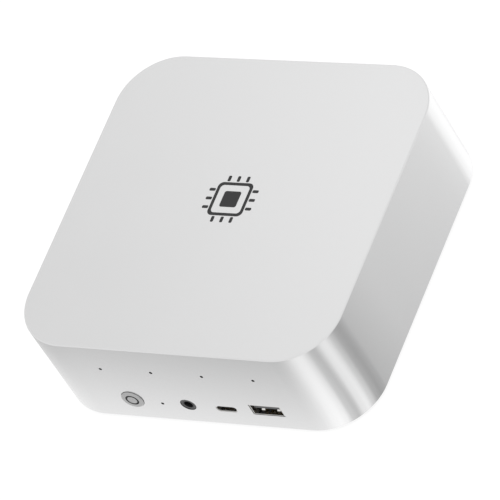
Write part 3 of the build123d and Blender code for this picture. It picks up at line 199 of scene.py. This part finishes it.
def make_rings():
    inputs = [("X", 0.0), ("Z", 0.0), ("Pitch", RING_PITCH)]
    group, enter, leave, place = start_group("spun rings", inputs, ["Height"])
    split = group.nodes.new("ShaderNodeSeparateXYZ")
    group.links.new(place.outputs["Object"], split.inputs[0])
    across = maths(group, "SUBTRACT", split.outputs["X"], enter.outputs["X"])
    up = maths(group, "SUBTRACT", split.outputs["Z"], enter.outputs["Z"])
    square = maths(group, "ADD", maths(group, "POWER", across, 2.0), maths(group, "POWER", up, 2.0))
    radius = maths(group, "SQRT", square)
    noise = group.nodes.new("ShaderNodeTexNoise")
    noise.noise_dimensions = "1D"
    noise.inputs["Detail"].default_value = 4
    noise.inputs["Scale"].default_value = 1.0
    group.links.new(maths(group, "DIVIDE", radius, enter.outputs["Pitch"]), noise.inputs["W"])
    group.links.new(noise.outputs["Fac"], leave.inputs["Height"])
    return group


RINGS = make_rings()
print("spun rings are ready")

# %% [markdown]
# ## Materials
# One function makes the common part of a finish: a base colour that varies a little, a roughness that
# varies with it, and a bump from the grain. Each finish then has its own values.

# %% Make a finish
ROUGHNESS_SPREAD = 0.04
COAT_ROUGHNESS = 0.15


def finish(name, colour, roughness, metallic=0.0, size=3000.0, cloud=40.0,
           bump=0.1, depth=0.02 * MM, vary=0.04, coat=0.0):
    material = bpy.data.materials.new(name)
    material.use_nodes = True
    tree = material.node_tree
    shader = tree.nodes["Principled BSDF"]
    shader.inputs["Metallic"].default_value = metallic
    shader.inputs["Coat Weight"].default_value = coat
    shader.inputs["Coat Roughness"].default_value = COAT_ROUGHNESS
    grain = tree.nodes.new("ShaderNodeGroup")
    grain.node_tree = GRAIN
    grain.inputs["Size"].default_value = size
    grain.inputs["Cloud"].default_value = cloud
    mix = tree.nodes.new("ShaderNodeMix")
    mix.data_type = "RGBA"
    mix.inputs[6].default_value = [max(0, c * (1 - vary)) for c in colour] + [1]
    mix.inputs[7].default_value = [min(1, c * (1 + vary)) for c in colour] + [1]
    tree.links.new(grain.outputs["Mask"], mix.inputs[0])
    tree.links.new(mix.outputs[2], shader.inputs["Base Color"])
    spread = tree.nodes.new("ShaderNodeMapRange")
    spread.inputs["To Min"].default_value = roughness - ROUGHNESS_SPREAD
    spread.inputs["To Max"].default_value = roughness + ROUGHNESS_SPREAD
    tree.links.new(grain.outputs["Mask"], spread.inputs["Value"])
    tree.links.new(spread.outputs["Result"], shader.inputs["Roughness"])
    bumps = tree.nodes.new("ShaderNodeBump")
    bumps.inputs["Strength"].default_value = bump
    bumps.inputs["Distance"].default_value = depth
    tree.links.new(grain.outputs["Height"], bumps.inputs["Height"])
    tree.links.new(bumps.outputs["Normal"], shader.inputs["Normal"])
    return material


satin = finish("satin aluminium", (0.74, 0.74, 0.742), 0.2, metallic=1.0, size=4500, cloud=30,
               bump=0.1, vary=0.008)
black = finish("black moulded plastic", (0.022, 0.022, 0.024), 0.5, size=2500, bump=0.35,
               depth=0.05 * MM, vary=0.15)
smooth_black = finish("smooth black plastic", (0.012, 0.012, 0.013), 0.38, size=1500, bump=0.1, vary=0.1)
tongue = finish("dark tongue plastic", (0.06, 0.06, 0.062), 0.36, size=1500, bump=0.1, vary=0.1)
nickel = finish("nickel sheet", (0.72, 0.71, 0.69), 0.2, metallic=1.0, size=900, cloud=300,
                bump=0.06, vary=0.05)
gold = finish("gilt contacts", (0.9, 0.66, 0.3), 0.25, metallic=1.0, size=2000, bump=0.05, vary=0.05)
rubber = finish("black rubber", (0.018, 0.018, 0.018), 0.78, size=1800, bump=0.5, depth=0.08 * MM, vary=0.2)
zinc = finish("black zinc screws", (0.05, 0.05, 0.05), 0.35, metallic=1.0, size=1800, bump=0.1, vary=0.1)
steel = finish("spring steel", (0.5, 0.5, 0.49), 0.35, metallic=1.0, size=1200, bump=0.1, vary=0.06)
mask_green = finish("board mask", (0.008, 0.022, 0.018), 0.28, size=900, cloud=250, bump=0.1,
                    vary=0.3, coat=0.3)
moulded = finish("chip moulding", (0.025, 0.025, 0.026), 0.6, size=3500, bump=0.3, vary=0.1)
silicon = finish("silicon", (0.1, 0.11, 0.14), 0.1, metallic=0.6, size=300, bump=0.0, vary=0.05)
cans = finish("drawn aluminium", (0.75, 0.75, 0.75), 0.25, metallic=1.0, size=1000, bump=0.08, vary=0.04)
copper = finish("copper", (0.8, 0.4, 0.26), 0.28, metallic=1.0, size=1000, cloud=120, bump=0.08, vary=0.08)
brass = finish("brass", (0.75, 0.58, 0.3), 0.28, metallic=1.0, size=1500, bump=0.08, vary=0.05)
white = finish("white plastic", (0.75, 0.75, 0.73), 0.45, size=1500, bump=0.15, vary=0.03)
clear = finish("milky light guide", (0.1, 0.105, 0.11), 0.35, size=1500, bump=0.1, vary=0.04)
ink = finish("dark print", (0.012, 0.012, 0.013), 0.55, size=3500, bump=0.15, vary=0.2)
smoked = finish("smoked light guide", (0.004, 0.004, 0.005), 0.45, size=1500, bump=0.1, vary=0.04)
smoked.node_tree.nodes["Principled BSDF"].inputs["Specular IOR Level"].default_value = 0.15
dark_metal = finish("dark anodised ring", (0.12, 0.12, 0.123), 0.36, metallic=1.0, size=3500,
                    bump=0.1, vary=0.05)
# painted shade: a near-black colour for the walls of the front holes stands in for the shade inside them
shade = finish("painted shade on hole walls", (0.03, 0.03, 0.03), 0.6, size=3500, bump=0.1, vary=0.1)
print("21 finishes made")

# %% [markdown]
# The button and the ring round the audio socket are turned on a lathe. The button's finish has rings round
# its own middle, which is read from the box of the button's rim.

# %% Spun finish


def spun_finish(name, centre, colour, roughness):
    material = finish(name, colour, roughness, metallic=1.0, size=3000, bump=0.1, vary=0.02)
    tree = material.node_tree
    rings = tree.nodes.new("ShaderNodeGroup")
    rings.node_tree = RINGS
    rings.inputs["X"].default_value = centre.x
    rings.inputs["Z"].default_value = centre.z
    rings.inputs["Pitch"].default_value = RING_PITCH
    bumps = tree.nodes["Bump"]
    bumps.inputs["Strength"].default_value = 0.35
    tree.links.new(rings.outputs["Height"], bumps.inputs["Height"])
    return material


def wear(node, material):
    piece = nodes[node]
    piece.data.materials.clear()
    piece.data.materials.append(material)


spun_button = spun_finish("spun button", middle("power_button_rim"), (0.44, 0.44, 0.44), 0.34)
print("spun finish made")

# %% [markdown]
# Each CAD node keeps its shape and gets its finish here.

# %% Give each node its finish
FINISHES = [
    (satin, ["top_shell"]),
    (black, ["base_cover", "rear_panel", "fan_frame", "fan_impeller", "speakers", "switch_bodies",
             "card_sockets"]),
    (smooth_black, ["audio_jacks", "power_inlet_body", "network_jack_insert"]),
    (tongue, ["front_usb_a_insert", "usb_c_inserts", "rear_usb_a_insert", "video_port_inserts"]),
    (clear, ["network_jack_lights"]),
    (smoked, ["power_button_carrier"]),
    (dark_metal, ["audio_jack_rings"]),
    (white, ["power_switch_plunger", "reset_switch_plunger", "fan_lead_plug"]),
    (rubber, ["rubber_feet", "microphone_gaskets", "antenna_leads", "fan_lead"]),
    (nickel, ["front_usb_a_shell", "usb_c_shells", "rear_usb_a_shell", "video_port_shells",
              "network_jack_shield", "power_inlet_pin", "coin_cell", "fan_shaft"]),
    (zinc, ["base_screws", "machine_screws", "card_screws", "dust_filter"]),
    (steel, ["cooler_clamps", "fan_cover", "fan_stator"]),
    (mask_green, ["main_board", "microphone_board", "processor_substrate", "drive_boards", "wireless_card"]),
    (moulded, ["microphones", "memory_chips", "power_inductors", "board_chips", "drive_chips"]),
    (silicon, ["processor_die"]),
    (cans, ["board_capacitors", "fin_stack"]),
    (copper, ["cold_plate", "heat_pipes", "antennas"]),
    (brass, ["fan_bearing", "network_jack_contacts"]),
    (spun_button, ["power_button_rim", "power_button_centre"]),
]
for material, names in FINISHES:
    for name in names:
        wear(name, material)
bare = [name for name in nodes if not any(name in names for _, names in FINISHES)]
print("nodes without a finish:", bare)

# %% [markdown]
# ## The shell
# The shell's long corners mirror the room in soft bands, so its shading has to be smooth. Its CAD mesh is
# loose triangles, so a copy is merged at the seams, shaded smooth by angle, and given weighted normals,
# which keep the flat walls flat right up to the corners.

# %% A smooth copy of the shell
SMOOTH_BELOW = radians(28)
MERGE_WITHIN = 0.001 * MM


def smooth_copy(node):
    source = nodes[node]
    piece = source.copy()
    piece.data = source.data.copy()
    piece.parent = None
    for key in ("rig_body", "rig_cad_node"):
        if key in piece:
            del piece[key]
    piece.name = node + "_smooth"
    bpy.context.scene.collection.objects.link(piece)
    select_only(piece)
    bpy.ops.object.mode_set(mode="EDIT")
    bpy.ops.mesh.select_all(action="SELECT")
    bpy.ops.mesh.remove_doubles(threshold=MERGE_WITHIN)
    bpy.ops.object.mode_set(mode="OBJECT")
    if piece.data.has_custom_normals:
        bpy.ops.mesh.customdata_custom_splitnormals_clear()
    bpy.ops.object.shade_smooth_by_angle(angle=SMOOTH_BELOW)
    weighted = piece.modifiers.new("weighted normals", "WEIGHTED_NORMAL")
    weighted.keep_sharp = True
    weighted.weight = 100
    bpy.ops.object.modifier_apply(modifier=weighted.name)
    return piece


def stand_in(node):
    """A smooth copy that is shown in place of its node and rides on the same body."""
    piece = smooth_copy(node)
    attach(piece, body_of(nodes[node])[0])
    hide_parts(node)
    return piece


shell = stand_in("top_shell")
print("shell has", len(shell.data.polygons), "faces")

# %% [markdown]
# Little light comes back out of the round holes in the front, so their walls are painted dark: this is
# painted shade, not a colour the metal has.
# They are the faces within the front wall's thickness that look sideways. The openings of the two USB sockets
# are left out, because their walls catch the light.

# %% Painted shade on the hole walls
HOLE_DEPTH = 1.8 * MM
HOLES_HALF_W = 42 * MM
HOLES_LOW, HOLES_HIGH = 4 * MM, 36 * MM
SOCKETS_FROM_X, SOCKETS_TOP = 5 * MM, 20 * MM


def paint_shade_in_holes(piece):
    # the faces inside the round holes get the painted shade
    piece.data.materials.append(shade)
    count = 0
    for face in piece.data.polygons:
        at = face.center
        in_wall = FRONT_Y + 0.01 * MM < at.y < FRONT_Y + HOLE_DEPTH
        in_field = abs(at.x) < HOLES_HALF_W and HOLES_LOW < at.z < HOLES_HIGH
        of_socket = at.x > SOCKETS_FROM_X and at.z < SOCKETS_TOP
        if in_wall and in_field and not of_socket and abs(face.normal.y) < 0.8:
            face.material_index = 1
            count += 1
    return count


print("dark faces in the holes:", paint_shade_in_holes(shell))

# %% [markdown]
# The other round pieces that show are shaded smooth in the same way.

# %% Smooth round pieces
ROUND = [
    ("power_button_rim", "spun_aluminium"), ("power_button_centre", "spun_aluminium"),
    ("power_button_carrier", "clear_plastic"), ("audio_jack_rings", "bright_steel"),
    ("audio_jacks", "insert_plastic"), ("usb_c_shells", "bright_steel"),
    ("power_inlet_body", "insert_plastic"), ("power_inlet_pin", "bright_steel"),
    ("rubber_feet", "black_rubber"), ("base_screws", "dark_steel"),
]
for node, slot in ROUND:
    stand_in(node)
print("smooth round pieces:", len(ROUND))

# %% [markdown]
# ## Contacts
# The tongue inside each socket carries a row of gilt stripes on its lower face, or on both. A tongue's place
# is read from the corners of its tip.

# %% Contact stripes
PAD_T = 0.06 * MM
PAD_SET_BACK = 0.6 * MM


def tongues(node, side, x_from, x_to):
    """(middle x, y of the tip, low z, high z) of each tongue that opens to the front (-1) or the rear (1)."""
    points = [v.co for v in nodes[node].data.vertices if v.co.y * side > 0 and x_from < v.co.x < x_to]
    tip = max(point.y * side for point in points)
    corners = [point for point in points if point.y * side > tip - 0.01 * MM]
    heights = sorted({round(point.z, 6) for point in corners})
    across = (min(point.x for point in corners) + max(point.x for point in corners)) / 2
    return [(across, tip * side, a, b) for a, b in zip(heights[::2], heights[1::2])]


def contact_stripes(name, node, side, count, pitch, width, length, above=True, x_from=-1.0, x_to=1.0):
    stripes = []
    for across, tip, low, high in tongues(node, side, x_from, x_to):
        ends = sorted((tip - side * PAD_SET_BACK, tip - side * (PAD_SET_BACK + length)))
        levels = [(low - PAD_T, low)] + ([(high, high + PAD_T)] if above else [])
        for bottom, top in levels:
            for i in range(count):
                x = across + (i - (count - 1) / 2) * pitch
                corner = Vector((x - width / 2, ends[0], bottom))
                stripes.append(new_box(name, corner, Vector((x + width / 2, ends[1], top))))
    piece = join(stripes, name)
    piece.data.materials.append(gold)
    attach(piece, "body")
    return piece


STRIPES = [
    ("front_usb_a_contacts", "front_usb_a_insert", -1, 4, 2.3, 1.1, 7.0, False),
    ("front_usb_c_contacts", "usb_c_inserts", -1, 12, 0.5, 0.28, 3.4, True),
    ("rear_usb_a_contacts", "rear_usb_a_insert", 1, 4, 2.3, 1.1, 7.0, False),
    ("rear_usb_c_contacts", "usb_c_inserts", 1, 12, 0.5, 0.28, 3.4, True),
    ("notched_video_contacts", "video_port_inserts", 1, 10, 1.1, 0.5, 5.0, True, 0, 0.02),
    ("bevelled_video_contacts", "video_port_inserts", 1, 10, 1.0, 0.45, 5.0, True, 0.02, 0.04),
]
for name, node, side, count, pitch, width, length, above, *field in STRIPES:
    contact_stripes(name, node, side, count, pitch * MM, width * MM, length * MM, above, *field)
print("rows of contacts:", len(STRIPES))

# %% [markdown]
# The sheet springs on a USB socket's floor end in a lip bent up towards the mouth. Each lip is a small wedge
# in front of its spring, and it mirrors what is outside. The socket's node has feet below it, so its floor is
# found from its top.

# %% Spring lips
LIP_X = 3.3 * MM
LIP_HALF_W = 0.7 * MM
LIP_BACK = 2.4 * MM
LIP_L, LIP_H = 0.5 * MM, 0.5 * MM
LIP_EDGE = 0.05 * MM
SHEET = 0.3 * MM
USB_OUTER_H = 5.72 * MM


def spring_lip(x, floor_z):
    low = Vector((x - LIP_HALF_W, FRONT_Y + LIP_BACK - LIP_L, floor_z))
    piece = new_box("spring_lip", low, low + Vector((2 * LIP_HALF_W, LIP_L, LIP_H)))
    for vertex in piece.data.vertices:
        if vertex.co.z > floor_z + LIP_H / 2 and vertex.co.y < low.y + LIP_L / 2:
            vertex.co.z = floor_z + LIP_EDGE
    return piece


usb_low, usb_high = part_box("front_usb_a_shell")
usb_x = (usb_low.x + usb_high.x) / 2
usb_floor = usb_high.z - USB_OUTER_H + SHEET
lips = join([spring_lip(usb_x + side * LIP_X, usb_floor) for side in (-1, 1)], "front_usb_a_spring_lips")
lips.data.materials.append(nickel)
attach(lips, "body")
print("spring lips:", len(lips.data.polygons), "faces")

# %% [markdown]
# ## The printed sign on the roof
# A plain computer chip drawn from above: a rounded square outline, a filled square in it, and three short
# pins on each side. It is a thin printed film, so it is a flat shape with a slight thickness.

# %% Chip sign
SIGN_AT = Vector((1.0 * MM, 2.5 * MM, ROOF_Z))
SIGN_OUT = 7.6 * MM
SIGN_LINE = 1.3 * MM
SIGN_CORE = 3.6 * MM
SIGN_PIN_L = 2.6 * MM
SIGN_PIN_W = 1.3 * MM
SIGN_PIN_PITCH = 4.0 * MM
SIGN_PIN_GAP = 0.4 * MM
SIGN_ROUND = 2.2 * MM
CORE_ROUND = 0.9 * MM
PIN_ROUND = 0.45 * MM
FILM = 0.02 * MM


def printed_plate(name, low_x, low_y, high_x, high_y, round_r):
    low = SIGN_AT + Vector((low_x, low_y, 0))
    high = SIGN_AT + Vector((high_x, high_y, FILM))
    piece = new_box(name, low, high)
    select_only(piece)
    bpy.ops.object.mode_set(mode="EDIT")
    bpy.ops.mesh.select_mode(type="EDGE")
    bpy.ops.mesh.select_all(action="DESELECT")
    bpy.ops.object.mode_set(mode="OBJECT")
    for edge in piece.data.edges:
        a, b = (piece.data.vertices[i].co for i in edge.vertices)
        edge.select = abs(a.x - b.x) + abs(a.y - b.y) < FILM / 2
    bpy.ops.object.mode_set(mode="EDIT")
    bpy.ops.mesh.bevel(offset=round_r, segments=8, affect="EDGES")
    bpy.ops.object.mode_set(mode="OBJECT")
    return piece


def chip_sign():
    outline = printed_plate("sign_outline", -SIGN_OUT, -SIGN_OUT, SIGN_OUT, SIGN_OUT, SIGN_ROUND)
    hole = SIGN_OUT - SIGN_LINE
    cutter = printed_plate("sign_hole", -hole, -hole, hole, hole, SIGN_ROUND - SIGN_LINE / 2)
    cutter.data.transform(Matrix.Translation((0, 0, -FILM)))
    for vertex in cutter.data.vertices:
        if vertex.co.z > ROOF_Z - FILM / 2:
            vertex.co.z = ROOF_Z + 3 * FILM
    select_only(outline)
    knock = outline.modifiers.new("window", "BOOLEAN")
    knock.operation = "DIFFERENCE"
    knock.object = cutter
    bpy.ops.object.modifier_apply(modifier=knock.name)
    bpy.data.objects.remove(cutter)
    pieces = [outline, printed_plate("sign_core", -SIGN_CORE, -SIGN_CORE, SIGN_CORE, SIGN_CORE, CORE_ROUND)]
    half = SIGN_PIN_W / 2
    for i in (-1, 0, 1):
        at = i * SIGN_PIN_PITCH
        near = SIGN_OUT + SIGN_PIN_GAP
        far = near + SIGN_PIN_L
        pieces.append(printed_plate("pin", near, at - half, far, at + half, PIN_ROUND))
        pieces.append(printed_plate("pin", -far, at - half, -near, at + half, PIN_ROUND))
        pieces.append(printed_plate("pin", at - half, near, at + half, far, PIN_ROUND))
        pieces.append(printed_plate("pin", at - half, -far, at + half, -near, PIN_ROUND))
    return join(pieces, "roof_sign")


sign = chip_sign()
sign.data.materials.append(ink)
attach(sign, "body")
print("sign has", len(sign.data.polygons), "faces")

# %% [markdown]
# ## The floor, the light and the camera
# The object stands on a wide pale sheet in an even white room, as in a product picture. The sheet gives off
# most of its own light, so it shows little shadow. Satin metal shows what it mirrors, so most of the work is
# in what stands around it.

# %% Floor and room
FLOOR_SIZE = 40
FLOOR_DROP = 0.05 * MM
FLOOR_OWN_LIGHT = 0.84
ROOM_LIGHT = 0.96


def one_sided(material):
    """Lets a view from below look through, so that the underside can be seen."""
    tree = material.node_tree
    clear_back = tree.nodes.new("ShaderNodeBsdfTransparent")
    sides = tree.nodes.new("ShaderNodeNewGeometry")
    mix = tree.nodes.new("ShaderNodeMixShader")
    tree.links.new(sides.outputs["Backfacing"], mix.inputs["Fac"])
    tree.links.new(tree.nodes["Principled BSDF"].outputs[0], mix.inputs[1])
    tree.links.new(clear_back.outputs[0], mix.inputs[2])
    tree.links.new(mix.outputs[0], tree.nodes["Material Output"].inputs["Surface"])
    return material


bpy.context.scene.view_settings.view_transform = "Standard"
bpy.ops.object.select_all(action="DESELECT")
bpy.ops.mesh.primitive_plane_add(size=FLOOR_SIZE, location=(0, 0, -FLOOR_DROP))
floor = bpy.context.object
floor.name = "floor"
paper = finish("pale floor", (0.2, 0.2, 0.2), 0.9, size=50, cloud=2, bump=0.0, vary=0.003)
paper_sockets = paper.node_tree.nodes["Principled BSDF"].inputs
paper_sockets["Specular IOR Level"].default_value = 0
paper_sockets["Emission Color"].default_value = (1, 1, 1, 1)
paper_sockets["Emission Strength"].default_value = FLOOR_OWN_LIGHT
floor.data.materials.append(one_sided(paper))
world = bpy.data.worlds.new("studio")
bpy.context.scene.world = world
world.use_nodes = True
background = world.node_tree.nodes["Background"].inputs
background["Color"].default_value = (1, 1, 1, 1)
background["Strength"].default_value = ROOM_LIGHT
print("floor and room are set")

# %% [markdown]
# One broad overhead lamp models the shape. It isn't mirrored, so it leaves no streak on the roof's round
# edge.

# %% Lamp


def lamp(name, place, aim, size, power):
    data = bpy.data.lights.new(name, "AREA")
    data.shape = "RECTANGLE"
    data.size, data.size_y = size
    data.energy = power
    piece = bpy.data.objects.new(name, data)
    piece.location = place
    piece.rotation_euler = (Vector(place) - Vector(aim)).to_track_quat("Z", "Y").to_euler()
    piece.visible_camera = False
    piece.visible_glossy = False
    bpy.context.scene.collection.objects.link(piece)
    return piece


lamp("overhead", (0.25, -0.25, 1.8), (0, 0, 0), (1.4, 1.4), 9)
print("the lamp is set")

# %% [markdown]
# The upright walls mirror the ground around the object, and the corner nearest the viewer shows it in light
# and dark bands. A skirt of paper that lies there, and that only reflections see, makes those bands. It runs
# along the front and the right side and round their corners. Each rib of the skirt starts at the wall's foot
# and points where that stretch of wall sends the view: twice the wall's own turn, less the viewer's. Further
# out, where only a low view is sent, the paper fades into the floor.

# %% The paper skirt
FROM_FRONT = radians(47.166)
ABOVE = radians(44.649)
SKIRT_REACH = 60 * MM
SKIRT_EDGE = 240 * MM
FLOOR_GLOW = 1.03
SKIRT_LIFT = 0.3 * MM
SKIRT_GAP = 0.4 * MM
CORNER_R = 22.5 * MM
LEFT, RIGHT = shell_low.x + CORNER_R, shell_high.x - CORNER_R
FORE, AFT = shell_low.y + CORNER_R, shell_high.y - CORNER_R
# each rib: how far the wall has turned from the front, in degrees, then its brightness near and far
LEFT_RIBS = [(-43, 1.0, 0.7), (-20, 1.05, 0.62), (0, 1.05, 0.6)]
NEAR_RIBS = [(0, 1.0, 0.55), (12, 1.05, 0.55), (18, 1.13, 0.65), (24, 1.24, 0.88), (30, 1.28, 1.05),
             (36, 1.2, 1.0), (42, 0.8, 0.6), (48, 0.68, 0.5), (54, 1.04, 1.0), (60, 1.14, 1.08),
             (66, 0.84, 0.7), (72, 0.54, 0.48), (78, 0.46, 0.43), (84, 0.51, 0.5), (90, 0.6, 0.66)]
WALL_RIBS = [(0.25, 0.73, 0.8), (0.6, 0.79, 0.84), (0.9, 0.86, 0.9)]
BACK_RIBS = [(90, 0.92, 0.95), (94, 1.04, 1.04), (99, 1.2, 1.2), (107, 1.27, 1.27), (120, 1.24, 1.24),
             (137, 1.0, 1.0)]


def facing(turn):
    return Vector((sin(turn), -cos(turn), 0))


def corner_ribs(x, y, ribs):
    """The ribs round one corner, whose middle is at x, y."""
    middle_at = Vector((x, y, SKIRT_LIFT))
    for degrees, near, far in ribs:
        turn = radians(degrees)
        yield middle_at + facing(turn) * (CORNER_R + SKIRT_GAP), facing(2 * turn - FROM_FRONT), near, far


def wall_ribs():
    """The ribs along the right side, placed by their share of the wall's length."""
    for share, near, far in WALL_RIBS:
        foot = Vector((shell_high.x + SKIRT_GAP, FORE + share * (AFT - FORE), SKIRT_LIFT))
        yield foot, facing(pi - FROM_FRONT), near, far


def skirt_ribs():
    ribs = list(corner_ribs(LEFT, FORE, LEFT_RIBS)) + list(corner_ribs(RIGHT, FORE, NEAR_RIBS))
    return ribs + list(wall_ribs()) + list(corner_ribs(RIGHT, AFT, BACK_RIBS))


def glow_finish():
    """Paper that gives off the brightness painted on its corners."""
    material = bpy.data.materials.new("skirt paper")
    material.use_nodes = True
    tree = material.node_tree
    tree.nodes.remove(tree.nodes["Principled BSDF"])
    paint = tree.nodes.new("ShaderNodeAttribute")
    paint.attribute_name = "brightness"
    glow = tree.nodes.new("ShaderNodeEmission")
    tree.links.new(paint.outputs["Fac"], glow.inputs["Strength"])
    tree.links.new(glow.outputs[0], tree.nodes["Material Output"].inputs["Surface"])
    return material


def paper_skirt():
    ribs = skirt_ribs()
    bpy.ops.object.select_all(action="DESELECT")
    bpy.ops.mesh.primitive_grid_add(x_subdivisions=len(ribs) - 1, y_subdivisions=2, size=2)
    skirt = bpy.context.object
    skirt.name = "paper_skirt"
    paint = skirt.data.attributes.new("brightness", "FLOAT", "POINT")
    for vertex in skirt.data.vertices:
        rib = round((vertex.co.x + 1) / 2 * (len(ribs) - 1))
        foot, way, near, far = ribs[rib]
        row = round(vertex.co.y) + 1
        vertex.co = foot + way * (0, SKIRT_REACH, SKIRT_EDGE)[row]
        paint.data[vertex.index].value = (near, far, FLOOR_GLOW)[row]
    skirt.data.materials.append(glow_finish())
    return skirt


def only_mirrored(piece):
    """A piece of the studio that only reflections see."""
    piece.visible_camera = False
    piece.visible_diffuse = False
    piece.visible_shadow = False
    return piece


skirt = only_mirrored(paper_skirt())
print("the skirt has", len(skirt.data.polygons), "panels")

# %% [markdown]
# The flat roof mirrors one patch of the room, behind and to the left. A card hangs there that is a little
# lighter towards one corner, so the roof brightens softly towards its back right. Each corner of the card
# hangs where the matching corner of the roof sends the view.

# %% The card that the roof mirrors
CARD_Z = 460 * MM
CARD_SPREAD = 1.9
CARD_MEAN, CARD_RIGHT, CARD_BACK = 1.0, 0.12, 0.075
to_viewer = Vector((sin(FROM_FRONT) * cos(ABOVE), -cos(FROM_FRONT) * cos(ABOVE), sin(ABOVE)))


def roof_card():
    bpy.ops.object.select_all(action="DESELECT")
    bpy.ops.mesh.primitive_plane_add(size=2)
    card = bpy.context.object
    card.name = "roof_card"
    paint = card.data.attributes.new("brightness", "FLOAT", "POINT")
    onward = Vector((-to_viewer.x, -to_viewer.y, to_viewer.z)) * ((CARD_Z - ROOF_Z) / to_viewer.z)
    for vertex in card.data.vertices:
        right, back = vertex.co.x, vertex.co.y
        paint.data[vertex.index].value = CARD_MEAN + CARD_RIGHT * right + CARD_BACK * back
        on_roof = Vector((right * shell_high.x, back * shell_high.y, 0)) * CARD_SPREAD
        vertex.co = on_roof + onward + Vector((0, 0, ROOF_Z))
    card.data.materials.append(skirt.data.materials[0])
    return only_mirrored(card)


roof_card()
print("the card hangs at", round(CARD_Z / MM), "mm")

# %% [markdown]
# A long lens far away keeps the sides nearly parallel, as product pictures do. The camera is placed by the
# direction it looks from, and rolled so that the object seems to tip forward.

# %% Camera
AIM = Vector((1.685, -3.986, 22.0)) * MM
ROLL = radians(33.555)
FAR = 2.0758
LENS = 403.74
camera_data = bpy.data.cameras.new("camera")
camera_data.lens = LENS
camera_data.sensor_width = 36
camera_data.clip_end = 50
camera = bpy.data.objects.new("camera", camera_data)
level = to_viewer.to_track_quat("Z", "Y").to_matrix()
rolled = (level @ Matrix.Rotation(-ROLL, 3, "Z")).to_4x4()
camera.matrix_world = Matrix.Translation(AIM + to_viewer * FAR) @ rolled
bpy.context.scene.collection.objects.link(camera)
bpy.context.scene.camera = camera
print("camera is", round(FAR, 3), "m away")
